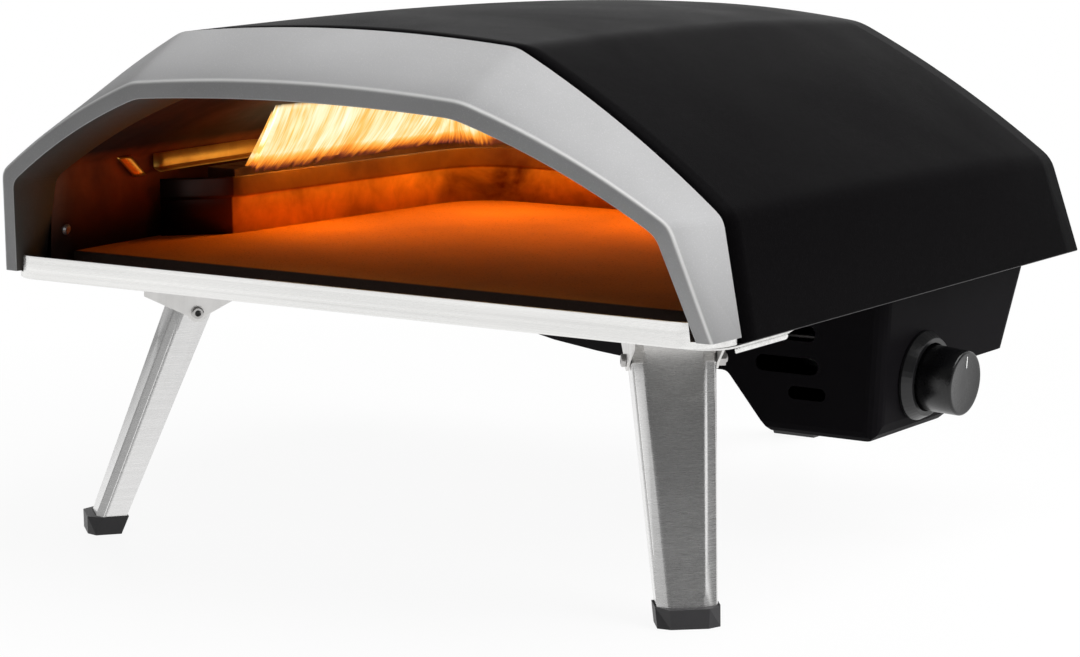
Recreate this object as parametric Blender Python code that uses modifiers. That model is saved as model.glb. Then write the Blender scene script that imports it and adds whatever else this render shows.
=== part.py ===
"""Portable gas pizza oven on three folding legs, built as separate parts.

Run with: blender --background --python part.py
Units are metres and +Z is up. The world origin is on the floor, under the centre of
the oven's bounding box. Parts are drawn in oven coordinates, which start at the foot
of the fascia: x to the right as the cook sees it, y to the back, z up. One empty
carries the whole oven from there to its place above the floor.
"""
import math

import bmesh
import bpy
from mathutils import Matrix, Vector

# Clearances
GAP = 0.0003
HINGE_GAP = 0.0005
CUT = 0.0040
MERGE = 0.00001

# Height of the fascia's foot above the floor
BASE_HEIGHT = 0.1870

# Outer shell: a folded arch with a top, two slopes and two sides
SHEET = 0.0012
CROWN_RISE = 0.0095
CROWN_PULL = 0.0012
TOP_RIDGE_X = 0.1370
TOP_RIDGE_Z = 0.1693
LOW_RIDGE_X = 0.2850
LOW_RIDGE_Z = 0.0730
SKIRT_X = 0.2910
SKIRT_Z = -0.0047
SLOPE_BULGE = 0.0050
HEM = 0.0120
BACK_TOP_DROP = 0.0130
BACK_LOW_DROP = 0.0100
BACK_LOW_INSET = 0.0070
BACK_Y = 0.4440
BACK_LEAN = 0.27
SEAM_GAP = 0.0012

# Fascia: the frame round the mouth, as edges that run over the arch (x, y, z)
FASCIA_WALL = 0.0020
SEAM_TOP_Y = 0.0188
SEAM_LOW_Y = 0.0200
SEAM_FOOT_Y = 0.0310
NOSE_TOP = (0.1336, -0.0368, 0.1403)
NOSE_LOW = (0.2708, -0.0180, 0.0720)
NOSE_FOOT = (0.2892, 0.0006, 0.0)
MOUTH_TOP = (0.1277, -0.0387, 0.1297)
MOUTH_LOW = (0.2607, -0.0179, 0.0650)
MOUTH_FOOT = (0.2778, 0.0, 0.0)
RETURN_TOP = (0.1260, 0.0220, 0.1285)
RETURN_LOW = (0.2580, 0.0220, 0.0640)
RETURN_FOOT = (0.2720, 0.0220, 0.0)

# Base tray and the bright lip in front of it
TRAY_TOP_Z = -0.0050
TRAY_SHEET = 0.0015
TRAY_INSET = 0.0080
TRAY_FRONT_INSET = 0.0021
TRAY_FRONT_Y = 0.0080
TRAY_FRONT_DEPTH = 0.0820
TRAY_BACK_Y = 0.4830
TRAY_CORNER = 0.0200
LIP_SHEET = 0.0012
LIP_FRONT_Y = -0.0010
LIP_TOP_Z = 0.0115
LIP_CORNER = 0.0280
LIP_SIDE_LENGTH = 0.0300
LIP_UPSTAND_INSET = 0.0169
LIP_SHOULDER = 0.0010
LIP_FLANGE = 0.0140
LIP_SIDE_FLANGE = 0.0050

# Cooking chamber
LINER_SHEET = 0.0012
LINER_FRONT_Y = 0.0226
LINER_FOOT_X = 0.2660
BACK_WALL_SETBACK = 0.0140
BLANKET_CLEARANCE = 0.0006
BLANKET_FRONT_Y = 0.0440
BLANKET_BACK_MARGIN = 0.0060
STONE_SIDE_CLEARANCE = 0.0040
STONE_THICKNESS = 0.0150
STONE_FRONT_Y = 0.0400
STONE_BACK_MARGIN = 0.0080
LINER_SCREW_Y = 0.0340
LINER_SCREW_Z = 0.0260

# Flame guard round the burner
GUARD_SHEET = 0.0012
GUARD_HEIGHT = 0.0414
GUARD_BAND = 0.0140
GUARD_STEP = 0.0015
GUARD_END_CLEARANCE = 0.0090
GUARD_NOSE_Y = 0.1270
GUARD_SIDE_X = -0.2190
GUARD_SIDE_Y = 0.1620
GUARD_REAR_X = -0.1860
GUARD_BURNER_SPACE = 0.0240
GUARD_CORNER = 0.0450
GUARD_NOSE_RADIUS = 0.0280

# Burner: an L of flat tube with ports along its top
BURNER_WIDTH = 0.0260
BURNER_HEIGHT = 0.0200
BURNER_WALL = 0.0012
BURNER_BOTTOM_Z = 0.0360
BURNER_SIDE_INSET = 0.0280
BURNER_BACK_INSET = 0.0080
BURNER_START_Y = 0.1720
BURNER_END_INSET = 0.0180
BURNER_CORNER = 0.0200
PORT_WIDTH = 0.0022
PORT_LENGTH = 0.0150
PORT_PITCH = 0.0160
BURNER_FOOT_RADIUS = 0.0040
BURNER_FOOT_FLANGE = 0.0080
BURNER_FOOT_SHEET = 0.0020
BURNER_FOOT_SIDE_Y = 0.2400
BURNER_FOOT_LEFT_X = -0.0900
BURNER_FOOT_RIGHT_X = 0.1950
FEED_X = 0.1100
FEED_RADIUS = 0.0090
FEED_WALL = 0.0010
FEED_NOTCH = 0.0130
FEED_DROP = 0.0300
FEED_STRAIGHT = 0.0080
ELECTRODE_X = -0.2190
ELECTRODE_Y = 0.2060
ELECTRODE_RADIUS = 0.0030
ELECTRODE_TIP_RADIUS = 0.0010
ELECTRODE_BODY = 0.0280
ELECTRODE_TIP = 0.0100

# Burner housing under the back right, with slots as (left, right, low, high)
HOUSING_WALL = 0.0015
HOUSING_LEFT_X = 0.0580
HOUSING_FRONT_Y = 0.2740
HOUSING_BACK_Y = 0.4820
HOUSING_BACK_LOW_Y = 0.4580
HOUSING_BACK_LOW_Z = -0.0180
HOUSING_RIGHT_X = 0.2540
HOUSING_DRAFT = 0.067
HOUSING_SHELF_Z = -0.0735
HOUSING_BOTTOM_Z = -0.1140
HOUSING_SHELF_X = 0.1290
HOUSING_DEEP_X = 0.1630
HOUSING_SHELF_Y = 0.4080
HOUSING_DEEP_Y = 0.3720
HOUSING_CORNER = 0.0130
HOUSING_BEND = 0.0080
HOUSING_LEFT_CORNER = 0.0100
HOUSING_EDGE = 0.0110
HOUSING_EDGE_PROUD = 0.00005
SLOTS = (
    (0.1740, 0.2000, -0.0480, -0.0370),
    (0.1520, 0.2020, -0.0710, -0.0595),
    (0.1780, 0.2080, -0.0885, -0.0795),
)
DUCT_LENGTH = 0.1857
DUCT_DEPTH = 0.0280
DUCT_FLOOR_SHARES = (
    (0.0, 0.04), (0.1, 0.30), (0.2, 0.50), (0.3, 0.66),
    (0.42, 0.78), (0.6, 0.88), (0.8, 0.95), (1.0, 1.0),
)

# Control knob, its collar and the valve behind it
KNOB_Y = 0.3310
KNOB_Z = -0.0743
KNOB_RADIUS = 0.0230
KNOB_FACE_RADIUS = 0.0224
KNOB_START = 0.0045
KNOB_END = 0.0352
KNOB_EDGE = 0.0012
KNOB_SEAT = 0.0200
COLLAR_RADIUS = 0.0310
COLLAR_FACE_RADIUS = 0.0270
COLLAR_DEPTH = 0.0085
COLLAR_EDGE = 0.0020
COLLAR_CLEARANCE = 0.0006
STEM_RADIUS = 0.0040
STEM_REACH = 0.0240
STEM_HOLE = 0.0055
PLUG_RADIUS = 0.0065
PLUG_START = 0.0080
PLUG_LENGTH = 0.0140
VALVE_RADIUS = 0.0130
VALVE_LENGTH = 0.0400
VALVE_BORE = 0.0280
JET_RADIUS = 0.0045
JET_TIP_RADIUS = 0.0020
JET_LENGTH = 0.0100
JET_STANDOFF = 0.0040
IGNITER_LENGTH = 0.0240
IGNITER_DEPTH = 0.0180
IGNITER_HEIGHT = 0.0220
PIPE_RADIUS = 0.0035
PIPE_RISE = 0.0140
INLET_X = 0.2050
INLET_Z = -0.0420
INLET_START_Y = 0.4550
INLET_LENGTH = 0.0420
INLET_RADIUS = 0.0080
INLET_NECK_RADIUS = 0.0055
INLET_NECK = 0.0206

# Legs: folded channels on pins between the cheeks of a bracket
LEG_SHEET = 0.0015
LEG_TOP_HALF = 0.0273
LEG_CHAMFER = 0.0080
LEG_CHAMFER_DEPTH = 0.0045
LEG_FACE_TOP = 0.0144
LEG_FACE_FOOT = 0.0126
LEG_BACK_TOP = 0.0093
LEG_BACK_FOOT = 0.0060
FRONT_FOOT_HALF = 0.0186
REAR_FOOT_HALF = 0.0172
PIN_DROP = 0.0228
PIN_RADIUS = 0.0030
PIN_HEAD_RADIUS = 0.0042
PIN_HEAD = 0.0030
PIN_TAIL = 0.0060
NUT_RADIUS = 0.0055
NUT_THICKNESS = 0.0045
BRACKET_SHEET = 0.0015
BRACKET_REACH = 0.0385
BRACKET_EAR = 0.0070
BRACKET_CHEEK = 0.0365
BRACKET_SHOULDER = 0.0128
CAP_HEIGHT = 0.0125
CAP_WALL = 0.0009
FRONT_PIN_X = 0.2008
FRONT_PIN_Y = 0.0931
FRONT_TURN = math.radians(40.5)
FRONT_SPLAY = math.radians(22.4)
REAR_PIN_Y = 0.5020
REAR_SPLAY = math.radians(29.6)
REAR_BRACKET_OUT = 0.0140
REAR_BRACKET_IN = 0.0600
RIVET_IN = 0.0260
RIVET_SIDE = 0.0200
RIVET_RADIUS = 0.0035
RIVET_HEAD = 0.0020
RIVET_SHANK = 0.0018

# Rear panel and the screws used on sheet metal
PANEL_INSET = 0.0030
PANEL_VENT_HEIGHT = 0.0050
PANEL_VENT_LENGTH = 0.0450
PANEL_VENT_PITCH = 0.0620
PANEL_VENT_Z = 0.0350
PANEL_VENT_COUNT = 7
PANEL_SCREW_INSET = 0.0510
PANEL_SCREW_Z = 0.0150
PANEL_SCREW_TOP_X = 0.0900
PANEL_SCREW_TOP_Z = 0.1050
SCREW_RADIUS = 0.0020
SCREW_HEAD_RADIUS = 0.0040
SCREW_HEAD = 0.0022
SCREW_LENGTH = 0.0050

# Facet counts
TOP_STEPS = 4
SLOPE_STEPS = 4
ROUND_STEPS = 24
SMALL_STEPS = 12
BEND_STEPS = 5
LENGTH_SHARES = (0.0, 0.25, 0.5, 0.68, 0.82, 0.92, 1.0)

# Derived places
STONE_HALF_WIDTH = LINER_FOOT_X - STONE_SIDE_CLEARANCE
BURNER_SIDE_X = BURNER_SIDE_INSET - LINER_FOOT_X
BURNER_BACK_Y = BACK_Y - BURNER_BACK_INSET
BURNER_END_X = LINER_FOOT_X - BURNER_END_INSET
GUARD_END_X = LINER_FOOT_X - GUARD_END_CLEARANCE
GUARD_BACK_Y = BURNER_BACK_Y - GUARD_BURNER_SPACE
TRAY_HALF_WIDTH = SKIRT_X - TRAY_INSET
TRAY_FRONT_HALF_WIDTH = SKIRT_X - TRAY_FRONT_INSET
LIP_UPSTAND_HALF = TRAY_FRONT_HALF_WIDTH - LIP_UPSTAND_INSET
PANEL_SCREW_X = SKIRT_X - PANEL_SCREW_INSET
STONE_BOTTOM_Z = TRAY_TOP_Z + GAP
STONE_TOP_Z = STONE_BOTTOM_Z + STONE_THICKNESS
STONE_BACK_Y = BACK_Y + STONE_BACK_MARGIN
TRAY_BOTTOM_Z = TRAY_TOP_Z - TRAY_SHEET
UNDER_TRAY_Z = TRAY_BOTTOM_Z - GAP
PIN_Z = UNDER_TRAY_Z - BRACKET_SHEET - PIN_DROP
LEG_DROP = BASE_HEIGHT + PIN_Z
CHEEK_INNER = LEG_TOP_HALF + HINGE_GAP
CHEEK_OUTER = CHEEK_INNER + BRACKET_SHEET
CAP_GROWTH = CAP_WALL + GAP
KNOB_TILT = math.atan(HOUSING_DRAFT)
KNOB_X = HOUSING_RIGHT_X - (UNDER_TRAY_Z - KNOB_Z) * HOUSING_DRAFT
FOOT_REACH = LEG_DROP * math.tan(REAR_SPLAY) + (LEG_FACE_FOOT + CAP_GROWTH) / math.cos(REAR_SPLAY)
FRONT_END_Y = MOUTH_TOP[1] - CROWN_PULL
BACK_END_Y = REAR_PIN_Y + FOOT_REACH
OVEN_SHIFT_Y = -(FRONT_END_Y + BACK_END_Y) / 2

PARTS = "pizza_oven"
CUTTERS = "cutters"


def back_y(z):
    """Y of the oven's leaning back plane at a height."""
    return BACK_Y + (TOP_RIDGE_Z - BACK_TOP_DROP - z) * BACK_LEAN


def clear_scene():
    """Remove every object, and add the two collections and the oven's own frame."""
    for thing in list(bpy.data.objects):
        bpy.data.objects.remove(thing, do_unlink=True)
    for name in (PARTS, CUTTERS):
        group = bpy.data.collections.new(name)
        bpy.context.scene.collection.children.link(group)
    return frame_at("oven_frame", None, (0, OVEN_SHIFT_Y, BASE_HEIGHT))


def frame_at(name, parent, place, turn=None):
    """An empty that carries parts at a place with a turn."""
    holder = bpy.data.objects.new(name, None)
    holder.parent = parent
    turn = turn if turn is not None else Matrix.Identity(3)
    holder.matrix_local = Matrix.Translation(place) @ turn.to_4x4()
    bpy.data.collections[PARTS].objects.link(holder)
    return holder


def finish(name, colour, roughness, metallic):
    """A plain Principled material."""
    material = bpy.data.materials.new(name)
    material.use_nodes = True
    shader = material.node_tree.nodes["Principled BSDF"]
    shader.inputs["Base Color"].default_value = (*colour, 1.0)
    shader.inputs["Roughness"].default_value = roughness
    shader.inputs["Metallic"].default_value = metallic
    material.diffuse_color = (*colour, 1.0)
    return material


def add(name, mesh, material, parent, collection=PARTS):
    """Put a mesh in the scene as a named part carried by its parent."""
    thing = bpy.data.objects.new(name, mesh)
    if material is not None:
        mesh.materials.append(material)
    thing.parent = parent
    bpy.data.collections[collection].objects.link(thing)
    return thing


def mesh_of(name, bm):
    """Write a bmesh out as a mesh, with round sides smooth and corners sharp."""
    mesh = bpy.data.meshes.new(name)
    bm.to_mesh(mesh)
    bm.free()
    mesh.shade_smooth()
    mesh.set_sharp_from_angle(angle=math.radians(35.0))
    return mesh


def rod_mesh(name, radius, start, end, steps=ROUND_STEPS):
    """A closed cylinder between two points."""
    start, end = Vector(start), Vector(end)
    reach = end - start
    turn = Vector((0, 0, 1)).rotation_difference(reach).to_matrix().to_4x4()
    place = Matrix.Translation((start + end) / 2) @ turn
    bm = bmesh.new()
    bmesh.ops.create_cone(bm, cap_ends=True, segments=steps, radius1=radius, radius2=radius,
                          depth=reach.length, matrix=place)
    return mesh_of(name, bm)


def blocks_mesh(name, pairs):
    """One mesh with a block between each pair of corners."""
    bm = bmesh.new()
    for low, high in pairs:
        low, high = Vector(low), Vector(high)
        place = Matrix.Translation((low + high) / 2) @ Matrix.Diagonal((*(high - low), 1))
        bmesh.ops.create_cube(bm, size=1.0, matrix=place)
    return mesh_of(name, bm)


def cutter(name, mesh, parent):
    """A hidden body that cuts other parts."""
    thing = add(name, mesh, None, parent, CUTTERS)
    thing.hide_render = True
    thing.display_type = "WIRE"
    return thing


def combine(thing, other, operation="DIFFERENCE"):
    """Apply one body to another with the exact solver."""
    step = thing.modifiers.new(operation.lower() + "_" + other.name, "BOOLEAN")
    step.operation = operation
    step.solver = "EXACT"
    step.object = other


def sheet(name, rows, wall, side, material, parent, closed=False, collection=PARTS):
    """An open surface over rows of points, thickened inwards (-1) or outwards (1).

    It faces along (next point) x (next row). A closed sheet joins each row's ends.
    """
    bm = bmesh.new()
    grid = [[bm.verts.new(point) for point in row] for row in rows]
    count = len(grid[0])
    for lower, upper in zip(grid, grid[1:]):
        for i in range(count if closed else count - 1):
            j = (i + 1) % count
            bm.faces.new((lower[i], lower[j], upper[j], upper[i]))
    thing = add(name, mesh_of(name, bm), material, parent, collection)
    step = thing.modifiers.new("thickness", "SOLIDIFY")
    step.thickness = wall
    step.offset = side
    step.use_even_offset = True
    return thing


def loft_mesh(name, rings):
    """A closed body through rings of points, with both ends filled."""
    bm = bmesh.new()
    grid = [[bm.verts.new(point) for point in ring] for ring in rings]
    count = len(grid[0])
    for lower, upper in zip(grid, grid[1:]):
        for i in range(count):
            j = (i + 1) % count
            bm.faces.new((lower[i], lower[j], upper[j], upper[i]))
    bm.faces.new(grid[0])
    bm.faces.new(grid[-1])
    bmesh.ops.recalc_face_normals(bm, faces=bm.faces)
    return mesh_of(name, bm)


def turned(name, profile, material, parent, closed=False, steps=ROUND_STEPS):
    """Points of (radius, height) turned about the parent's Z axis.

    The profile runs down its outer side. A closed profile makes a ring.
    """
    bm = bmesh.new()
    points = [bm.verts.new((radius, 0, height)) for radius, height in profile]
    for a, b in zip(points, points[1:]):
        bm.edges.new((a, b))
    if closed:
        bm.edges.new((points[-1], points[0]))
    thing = add(name, mesh_of(name, bm), material, parent)
    step = thing.modifiers.new("turning", "SCREW")
    step.steps = steps
    step.render_steps = steps
    step.use_merge_vertices = True
    step.merge_threshold = MERGE
    return thing


def plate(name, outlines, thickness, material, parent, place):
    """A flat plate from an outline and its holes, with its middle plane at a place."""
    curve = bpy.data.curves.new(name, "CURVE")
    curve.dimensions = "2D"
    curve.fill_mode = "BOTH"
    curve.extrude = thickness / 2
    for outline in outlines:
        spline = curve.splines.new("POLY")
        spline.points.add(len(outline) - 1)
        for point, (x, y) in zip(spline.points, outline):
            point.co = (x, y, 0, 1)
        spline.use_cyclic_u = True
    curve.materials.append(material)
    thing = bpy.data.objects.new(name, curve)
    thing.parent = parent
    thing.location = place
    bpy.data.collections[PARTS].objects.link(thing)
    return thing


def smooth_route(points):
    """Points along a smooth curve through the given ones."""
    route = [Vector(point) for point in points]
    smoothed = []
    for i in range(len(route) - 1):
        before = route[max(i - 1, 0)]
        after = route[min(i + 2, len(route) - 1)]
        a, b = route[i], route[i + 1]
        for step in range(BEND_STEPS):
            t = step / BEND_STEPS
            smoothed.append(0.5 * (2 * a + (b - before) * t
                                   + (2 * before - 5 * a + 4 * b - after) * t ** 2
                                   + (3 * a - before - 3 * b + after) * t ** 3))
    smoothed.append(route[-1])
    return smoothed


def pipe(name, points, radius, material, parent):
    """A round bar bent smoothly through points."""
    curve = bpy.data.curves.new(name, "CURVE")
    curve.dimensions = "3D"
    curve.bevel_depth = radius
    curve.bevel_resolution = 2
    curve.use_fill_caps = True
    route = smooth_route(points)
    spline = curve.splines.new("POLY")
    spline.points.add(len(route) - 1)
    for point, place in zip(spline.points, route):
        point.co = (*place, 1)
    curve.materials.append(material)
    thing = bpy.data.objects.new(name, curve)
    thing.parent = parent
    bpy.data.collections[PARTS].objects.link(thing)
    return thing


def arc(centre, radius, start, end, steps=BEND_STEPS):
    """Points along an arc, with angles in radians."""
    turns = [start + (end - start) * i / steps for i in range(steps + 1)]
    return [(centre[0] + radius * math.cos(t), centre[1] + radius * math.sin(t)) for t in turns]


def circle(radius, centre, steps=ROUND_STEPS):
    """Points round a circle."""
    return arc(centre, radius, 0, 2 * math.pi, steps)[:-1]


def rounded_path(corners, steps=BEND_STEPS):
    """An open path through (x, y, radius) corners, with each corner rounded."""
    path = [corners[0][:2]]
    for before, corner, after in zip(corners, corners[1:], corners[2:]):
        here = Vector(corner[:2])
        if corner[2] == 0:
            path.append(tuple(here))
            continue
        back = (Vector(before[:2]) - here).normalized()
        ahead = (Vector(after[:2]) - here).normalized()
        half = back.angle(ahead) / 2
        centre = here + (back + ahead).normalized() * corner[2] / math.sin(half)
        tangent = corner[2] / math.tan(half)
        first = here + back * tangent - centre
        last = here + ahead * tangent - centre
        start = math.atan2(first.y, first.x)
        swing = math.atan2(first.x * last.y - first.y * last.x, first.dot(last))
        path += arc(centre, corner[2], start, start + swing, steps)
    path.append(corners[-1][:2])
    return path


def shift_path(path, distance):
    """Move an open path sideways to its right by a distance."""
    moved = []
    points = [Vector(point) for point in path]
    for i, point in enumerate(points):
        ahead = points[min(i + 1, len(points) - 1)] - points[min(i, len(points) - 2)]
        behind = points[max(i, 1)] - points[max(i - 1, 0)]
        a = Vector((ahead.y, -ahead.x)).normalized()
        b = Vector((behind.y, -behind.x)).normalized()
        side = (a + b).normalized()
        moved.append(tuple(point + side * distance / side.dot(a)))
    return moved


def arch(top, low, foot, rise=CROWN_RISE, pull=CROWN_PULL):
    """Points over the arch from the left foot to the right one.

    top, low and foot are (x, y, z) corners of the right half. The top face swells up by
    rise and forward by pull, and the slope swells out, all as parabolas.
    """
    top, low, foot = Vector(top), Vector(low), Vector(foot)
    half = []
    for i in range(TOP_STEPS):
        share = i / TOP_STEPS
        swell = 1 - share ** 2
        half.append(Vector((top.x * share, top.y - pull * swell, top.z + rise * swell)))
    slope = low - top
    out = Vector((-slope.z, 0, slope.x)).normalized()
    for i in range(SLOPE_STEPS + 1):
        share = i / SLOPE_STEPS
        half.append(top + slope * share + out * SLOPE_BULGE * 4 * share * (1 - share))
    half.append(foot)
    left = [Vector((-point.x, point.y, point.z)) for point in reversed(half[1:])]
    return left + half


def inset(points, distance):
    """Move an arch's points inwards in their upright plane by a distance."""
    flat = shift_path([(point.x, point.z) for point in points], distance)
    return [Vector((x, point.y, z)) for point, (x, z) in zip(points, flat)]


def shell_row(share):
    """The shell's outer arch at a share of its length, with the seam's own y."""
    fall = share ** 3
    top = (TOP_RIDGE_X, SEAM_TOP_Y, TOP_RIDGE_Z - BACK_TOP_DROP * fall)
    low = (LOW_RIDGE_X - BACK_LOW_INSET * fall, SEAM_LOW_Y, LOW_RIDGE_Z - BACK_LOW_DROP * fall)
    return arch(top, low, (SKIRT_X, SEAM_FOOT_Y, SKIRT_Z))


def liner_row(share, step=0.0):
    """The chamber's inner arch at a share of its length, moved out by a step."""
    fall = share ** 3
    top = (RETURN_TOP[0], LINER_FRONT_Y, RETURN_TOP[2] - BACK_TOP_DROP * fall)
    low = (RETURN_LOW[0], LINER_FRONT_Y, RETURN_LOW[2] - BACK_LOW_DROP * fall)
    foot = (LINER_FOOT_X, LINER_FRONT_Y, TRAY_TOP_Z + GAP)
    points = inset(arch(top, low, foot, pull=0), -step)
    for point in (points[0], points[-1]):
        point.z = foot[2]
    return points


def along(points, share, back):
    """Move an arch's points a share of the way to the back plane, less a margin."""
    return [Vector((p.x, p.y + (back_y(p.z) - back - p.y) * share, p.z)) for p in points]


def outer_shell(oven, paint):
    """The black arched cover, with a hem turned in along its skirt."""
    rows = []
    for share in LENGTH_SHARES:
        points = shell_row(share)
        for point in points:
            point.y += SEAM_GAP
        row = along(points, share, 0)
        inward = Vector((HEM, 0, 0))
        rows.append([row[0] + inward] + row + [row[-1] - inward])
    return sheet("outer_shell", rows, SHEET, -1, paint, oven)


def screw(name, place, outward, material, parent, through):
    """A pan-head screw that sits on a surface, with its hole cut in the sheet."""
    turn = Vector((0, 0, 1)).rotation_difference(Vector(outward)).to_matrix()
    holder = frame_at(name + "_frame", parent, place, turn)
    hole = rod_mesh(name + "_hole", SCREW_RADIUS + GAP, (0, 0, -CUT), (0, 0, CUT), SMALL_STEPS)
    combine(through, cutter(name + "_hole", hole, holder))
    top = GAP + SCREW_HEAD
    profile = [(0, top), (SCREW_HEAD_RADIUS * 0.6, top), (SCREW_HEAD_RADIUS, GAP + SCREW_HEAD / 3),
               (SCREW_HEAD_RADIUS, GAP), (SCREW_RADIUS, GAP), (SCREW_RADIUS, -SCREW_LENGTH),
               (0, -SCREW_LENGTH)]
    return turned(name, profile, material, holder, steps=SMALL_STEPS)


def rear_panel(oven, paint):
    """The leaning panel that closes the back, with air slots and four screws."""
    outline = inset(shell_row(1.0), SHEET + 2 * GAP)
    for point in (outline[0], outline[-1]):
        point.z = SKIRT_Z + SHEET + GAP
    rings = []
    for depth in (PANEL_INSET + SHEET, PANEL_INSET):
        rings.append([Vector((p.x, back_y(p.z) - depth, p.z)) for p in outline])
    panel = add("rear_panel", loft_mesh("rear_panel", rings), paint, oven)
    slots = []
    y = back_y(PANEL_VENT_Z) - PANEL_INSET
    for i in range(PANEL_VENT_COUNT):
        x = (i - (PANEL_VENT_COUNT - 1) / 2) * PANEL_VENT_PITCH
        low = (x - PANEL_VENT_LENGTH / 2, y - CUT, PANEL_VENT_Z)
        slots.append((low, (x + PANEL_VENT_LENGTH / 2, y + CUT, PANEL_VENT_Z + PANEL_VENT_HEIGHT)))
    combine(panel, cutter("vent_cutter", blocks_mesh("vent_cutter", slots), oven))
    number = 0
    for side in (-1, 1):
        for x, z in ((PANEL_SCREW_X, PANEL_SCREW_Z), (PANEL_SCREW_TOP_X, PANEL_SCREW_TOP_Z)):
            number += 1
            place = (side * x, back_y(z) - PANEL_INSET, z)
            screw("panel_screw_%d" % number, place, (0, 1, BACK_LEAN), paint, oven, panel)


def front_fascia(oven, paint):
    """The grey frame: a return, a front band and a wide band up to the seam."""
    rows = [
        arch(RETURN_TOP, RETURN_LOW, RETURN_FOOT, pull=0),
        arch(MOUTH_TOP, MOUTH_LOW, MOUTH_FOOT),
        arch(NOSE_TOP, NOSE_LOW, NOSE_FOOT),
        arch((TOP_RIDGE_X, SEAM_TOP_Y, TOP_RIDGE_Z), (LOW_RIDGE_X, SEAM_LOW_Y, LOW_RIDGE_Z),
             (SKIRT_X, SEAM_FOOT_Y, 0)),
    ]
    return sheet("front_fascia", rows, FASCIA_WALL, -1, paint, oven)


def chamber(oven, steel, fibre):
    """The inner arch, its leaning back wall, two screws and the blanket over them."""
    rows = [along(liner_row(share), share, BACK_WALL_SETBACK + 2 * GAP) for share in LENGTH_SHARES]
    liner = sheet("chamber_liner", rows, LINER_SHEET, 1, steel, oven)
    drop = RETURN_LOW[2] - TRAY_TOP_Z - GAP
    lean = (LINER_FOOT_X - RETURN_LOW[0]) / drop
    x = LINER_FOOT_X - (LINER_SCREW_Z - TRAY_TOP_Z - GAP) * lean
    for side, name in ((-1, "liner_screw_left"), (1, "liner_screw_right")):
        place = (side * x, LINER_SCREW_Y, LINER_SCREW_Z)
        screw(name, place, (-side, 0, -lean), steel, oven, liner)
    outline = liner_row(1.0, LINER_SHEET)
    rings = []
    for depth in (BACK_WALL_SETBACK, BACK_WALL_SETBACK - LINER_SHEET):
        rings.append([Vector((p.x, back_y(p.z) - depth, p.z)) for p in outline])
    add("chamber_back_wall", loft_mesh("chamber_back_wall", rings), steel, oven)
    rings = []
    for share in LENGTH_SHARES:
        inner = liner_row(share, 2 * LINER_SHEET + BLANKET_CLEARANCE)
        outer = inset(shell_row(share), 2 * SHEET + BLANKET_CLEARANCE)
        for point in (inner[0], inner[-1], outer[0], outer[-1]):
            point.z = SKIRT_Z + SHEET + BLANKET_CLEARANCE
        for point in inner + outer:
            point.y = BLANKET_FRONT_Y
        rings.append(along(outer + list(reversed(inner)), share, BLANKET_BACK_MARGIN + SHEET))
    add("insulation_blanket", loft_mesh("insulation_blanket", rings), fibre, oven)


def base_tray(oven, steel):
    """The stainless floor, wider at the front, with a hole for the burner's feed."""
    wide_y = TRAY_FRONT_Y + TRAY_FRONT_DEPTH
    half = [(0, TRAY_FRONT_Y, 0), (TRAY_FRONT_HALF_WIDTH, TRAY_FRONT_Y, TRAY_CORNER),
            (TRAY_FRONT_HALF_WIDTH, wide_y, TRAY_SHEET), (TRAY_HALF_WIDTH, wide_y + TRAY_CORNER, 0),
            (TRAY_HALF_WIDTH, TRAY_BACK_Y, TRAY_CORNER), (0, TRAY_BACK_Y, 0)]
    right = rounded_path(half)
    left = [(-x, y) for x, y in reversed(right[1:-1])]
    feed = circle(FEED_RADIUS + GAP, (FEED_X, BURNER_BACK_Y))
    middle = (0, 0, TRAY_TOP_Z - TRAY_SHEET / 2)
    return plate("base_tray", [right + left, feed], TRAY_SHEET, steel, oven, middle)


def front_lip(oven, steel):
    """The bright strip across the mouth, which bends back under the fascia's feet."""
    side_x = TRAY_FRONT_HALF_WIDTH
    centre = (side_x - LIP_CORNER, LIP_FRONT_Y + LIP_CORNER)
    turn = math.asin((LIP_UPSTAND_HALF - centre[0]) / LIP_CORNER)
    shoulder = math.asin((LIP_UPSTAND_HALF + LIP_SHOULDER - centre[0]) / LIP_CORNER)
    down = -math.pi / 2
    upstand = arc(centre, LIP_CORNER, down, down + turn, 3)
    low = arc(centre, LIP_CORNER, down + shoulder, 0, 6)
    half = [(0, LIP_FRONT_Y)] + upstand + low + [(side_x, LIP_FRONT_Y + LIP_SIDE_LENGTH)]
    path = [(-x, y) for x, y in reversed(half[1:])] + half
    tall = len(low) + 1
    bottom = TRAY_TOP_Z + GAP
    wide = shift_path(path, -LIP_FLANGE)
    narrow = shift_path(path, -LIP_SIDE_FLANGE)
    rows = [[], [], []]
    for i, (x, y) in enumerate(path):
        high = tall <= i < len(path) - tall
        straight = abs(x) <= centre[0] + MERGE
        inner = wide[i] if straight else narrow[i]
        rows[0].append((*inner, bottom))
        rows[1].append((x, y, bottom))
        rows[2].append((x, y, LIP_TOP_Z if high else -GAP))
    return sheet("front_lip", rows, LIP_SHEET, -1, steel, oven)


def baking_stone(oven, stone):
    """The slab that the food lies on, notched at the back for the burner's feed."""
    notch = arc((FEED_X, BURNER_BACK_Y), FEED_NOTCH, 0, -math.pi, 2 * BEND_STEPS)
    outline = [(-STONE_HALF_WIDTH, STONE_FRONT_Y), (STONE_HALF_WIDTH, STONE_FRONT_Y),
               (STONE_HALF_WIDTH, STONE_BACK_Y), (FEED_X + FEED_NOTCH, STONE_BACK_Y)]
    outline += notch + [(FEED_X - FEED_NOTCH, STONE_BACK_Y), (-STONE_HALF_WIDTH, STONE_BACK_Y)]
    middle = (0, 0, STONE_BOTTOM_Z + STONE_THICKNESS / 2)
    return plate("baking_stone", [outline], STONE_THICKNESS, stone, oven, middle)


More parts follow.
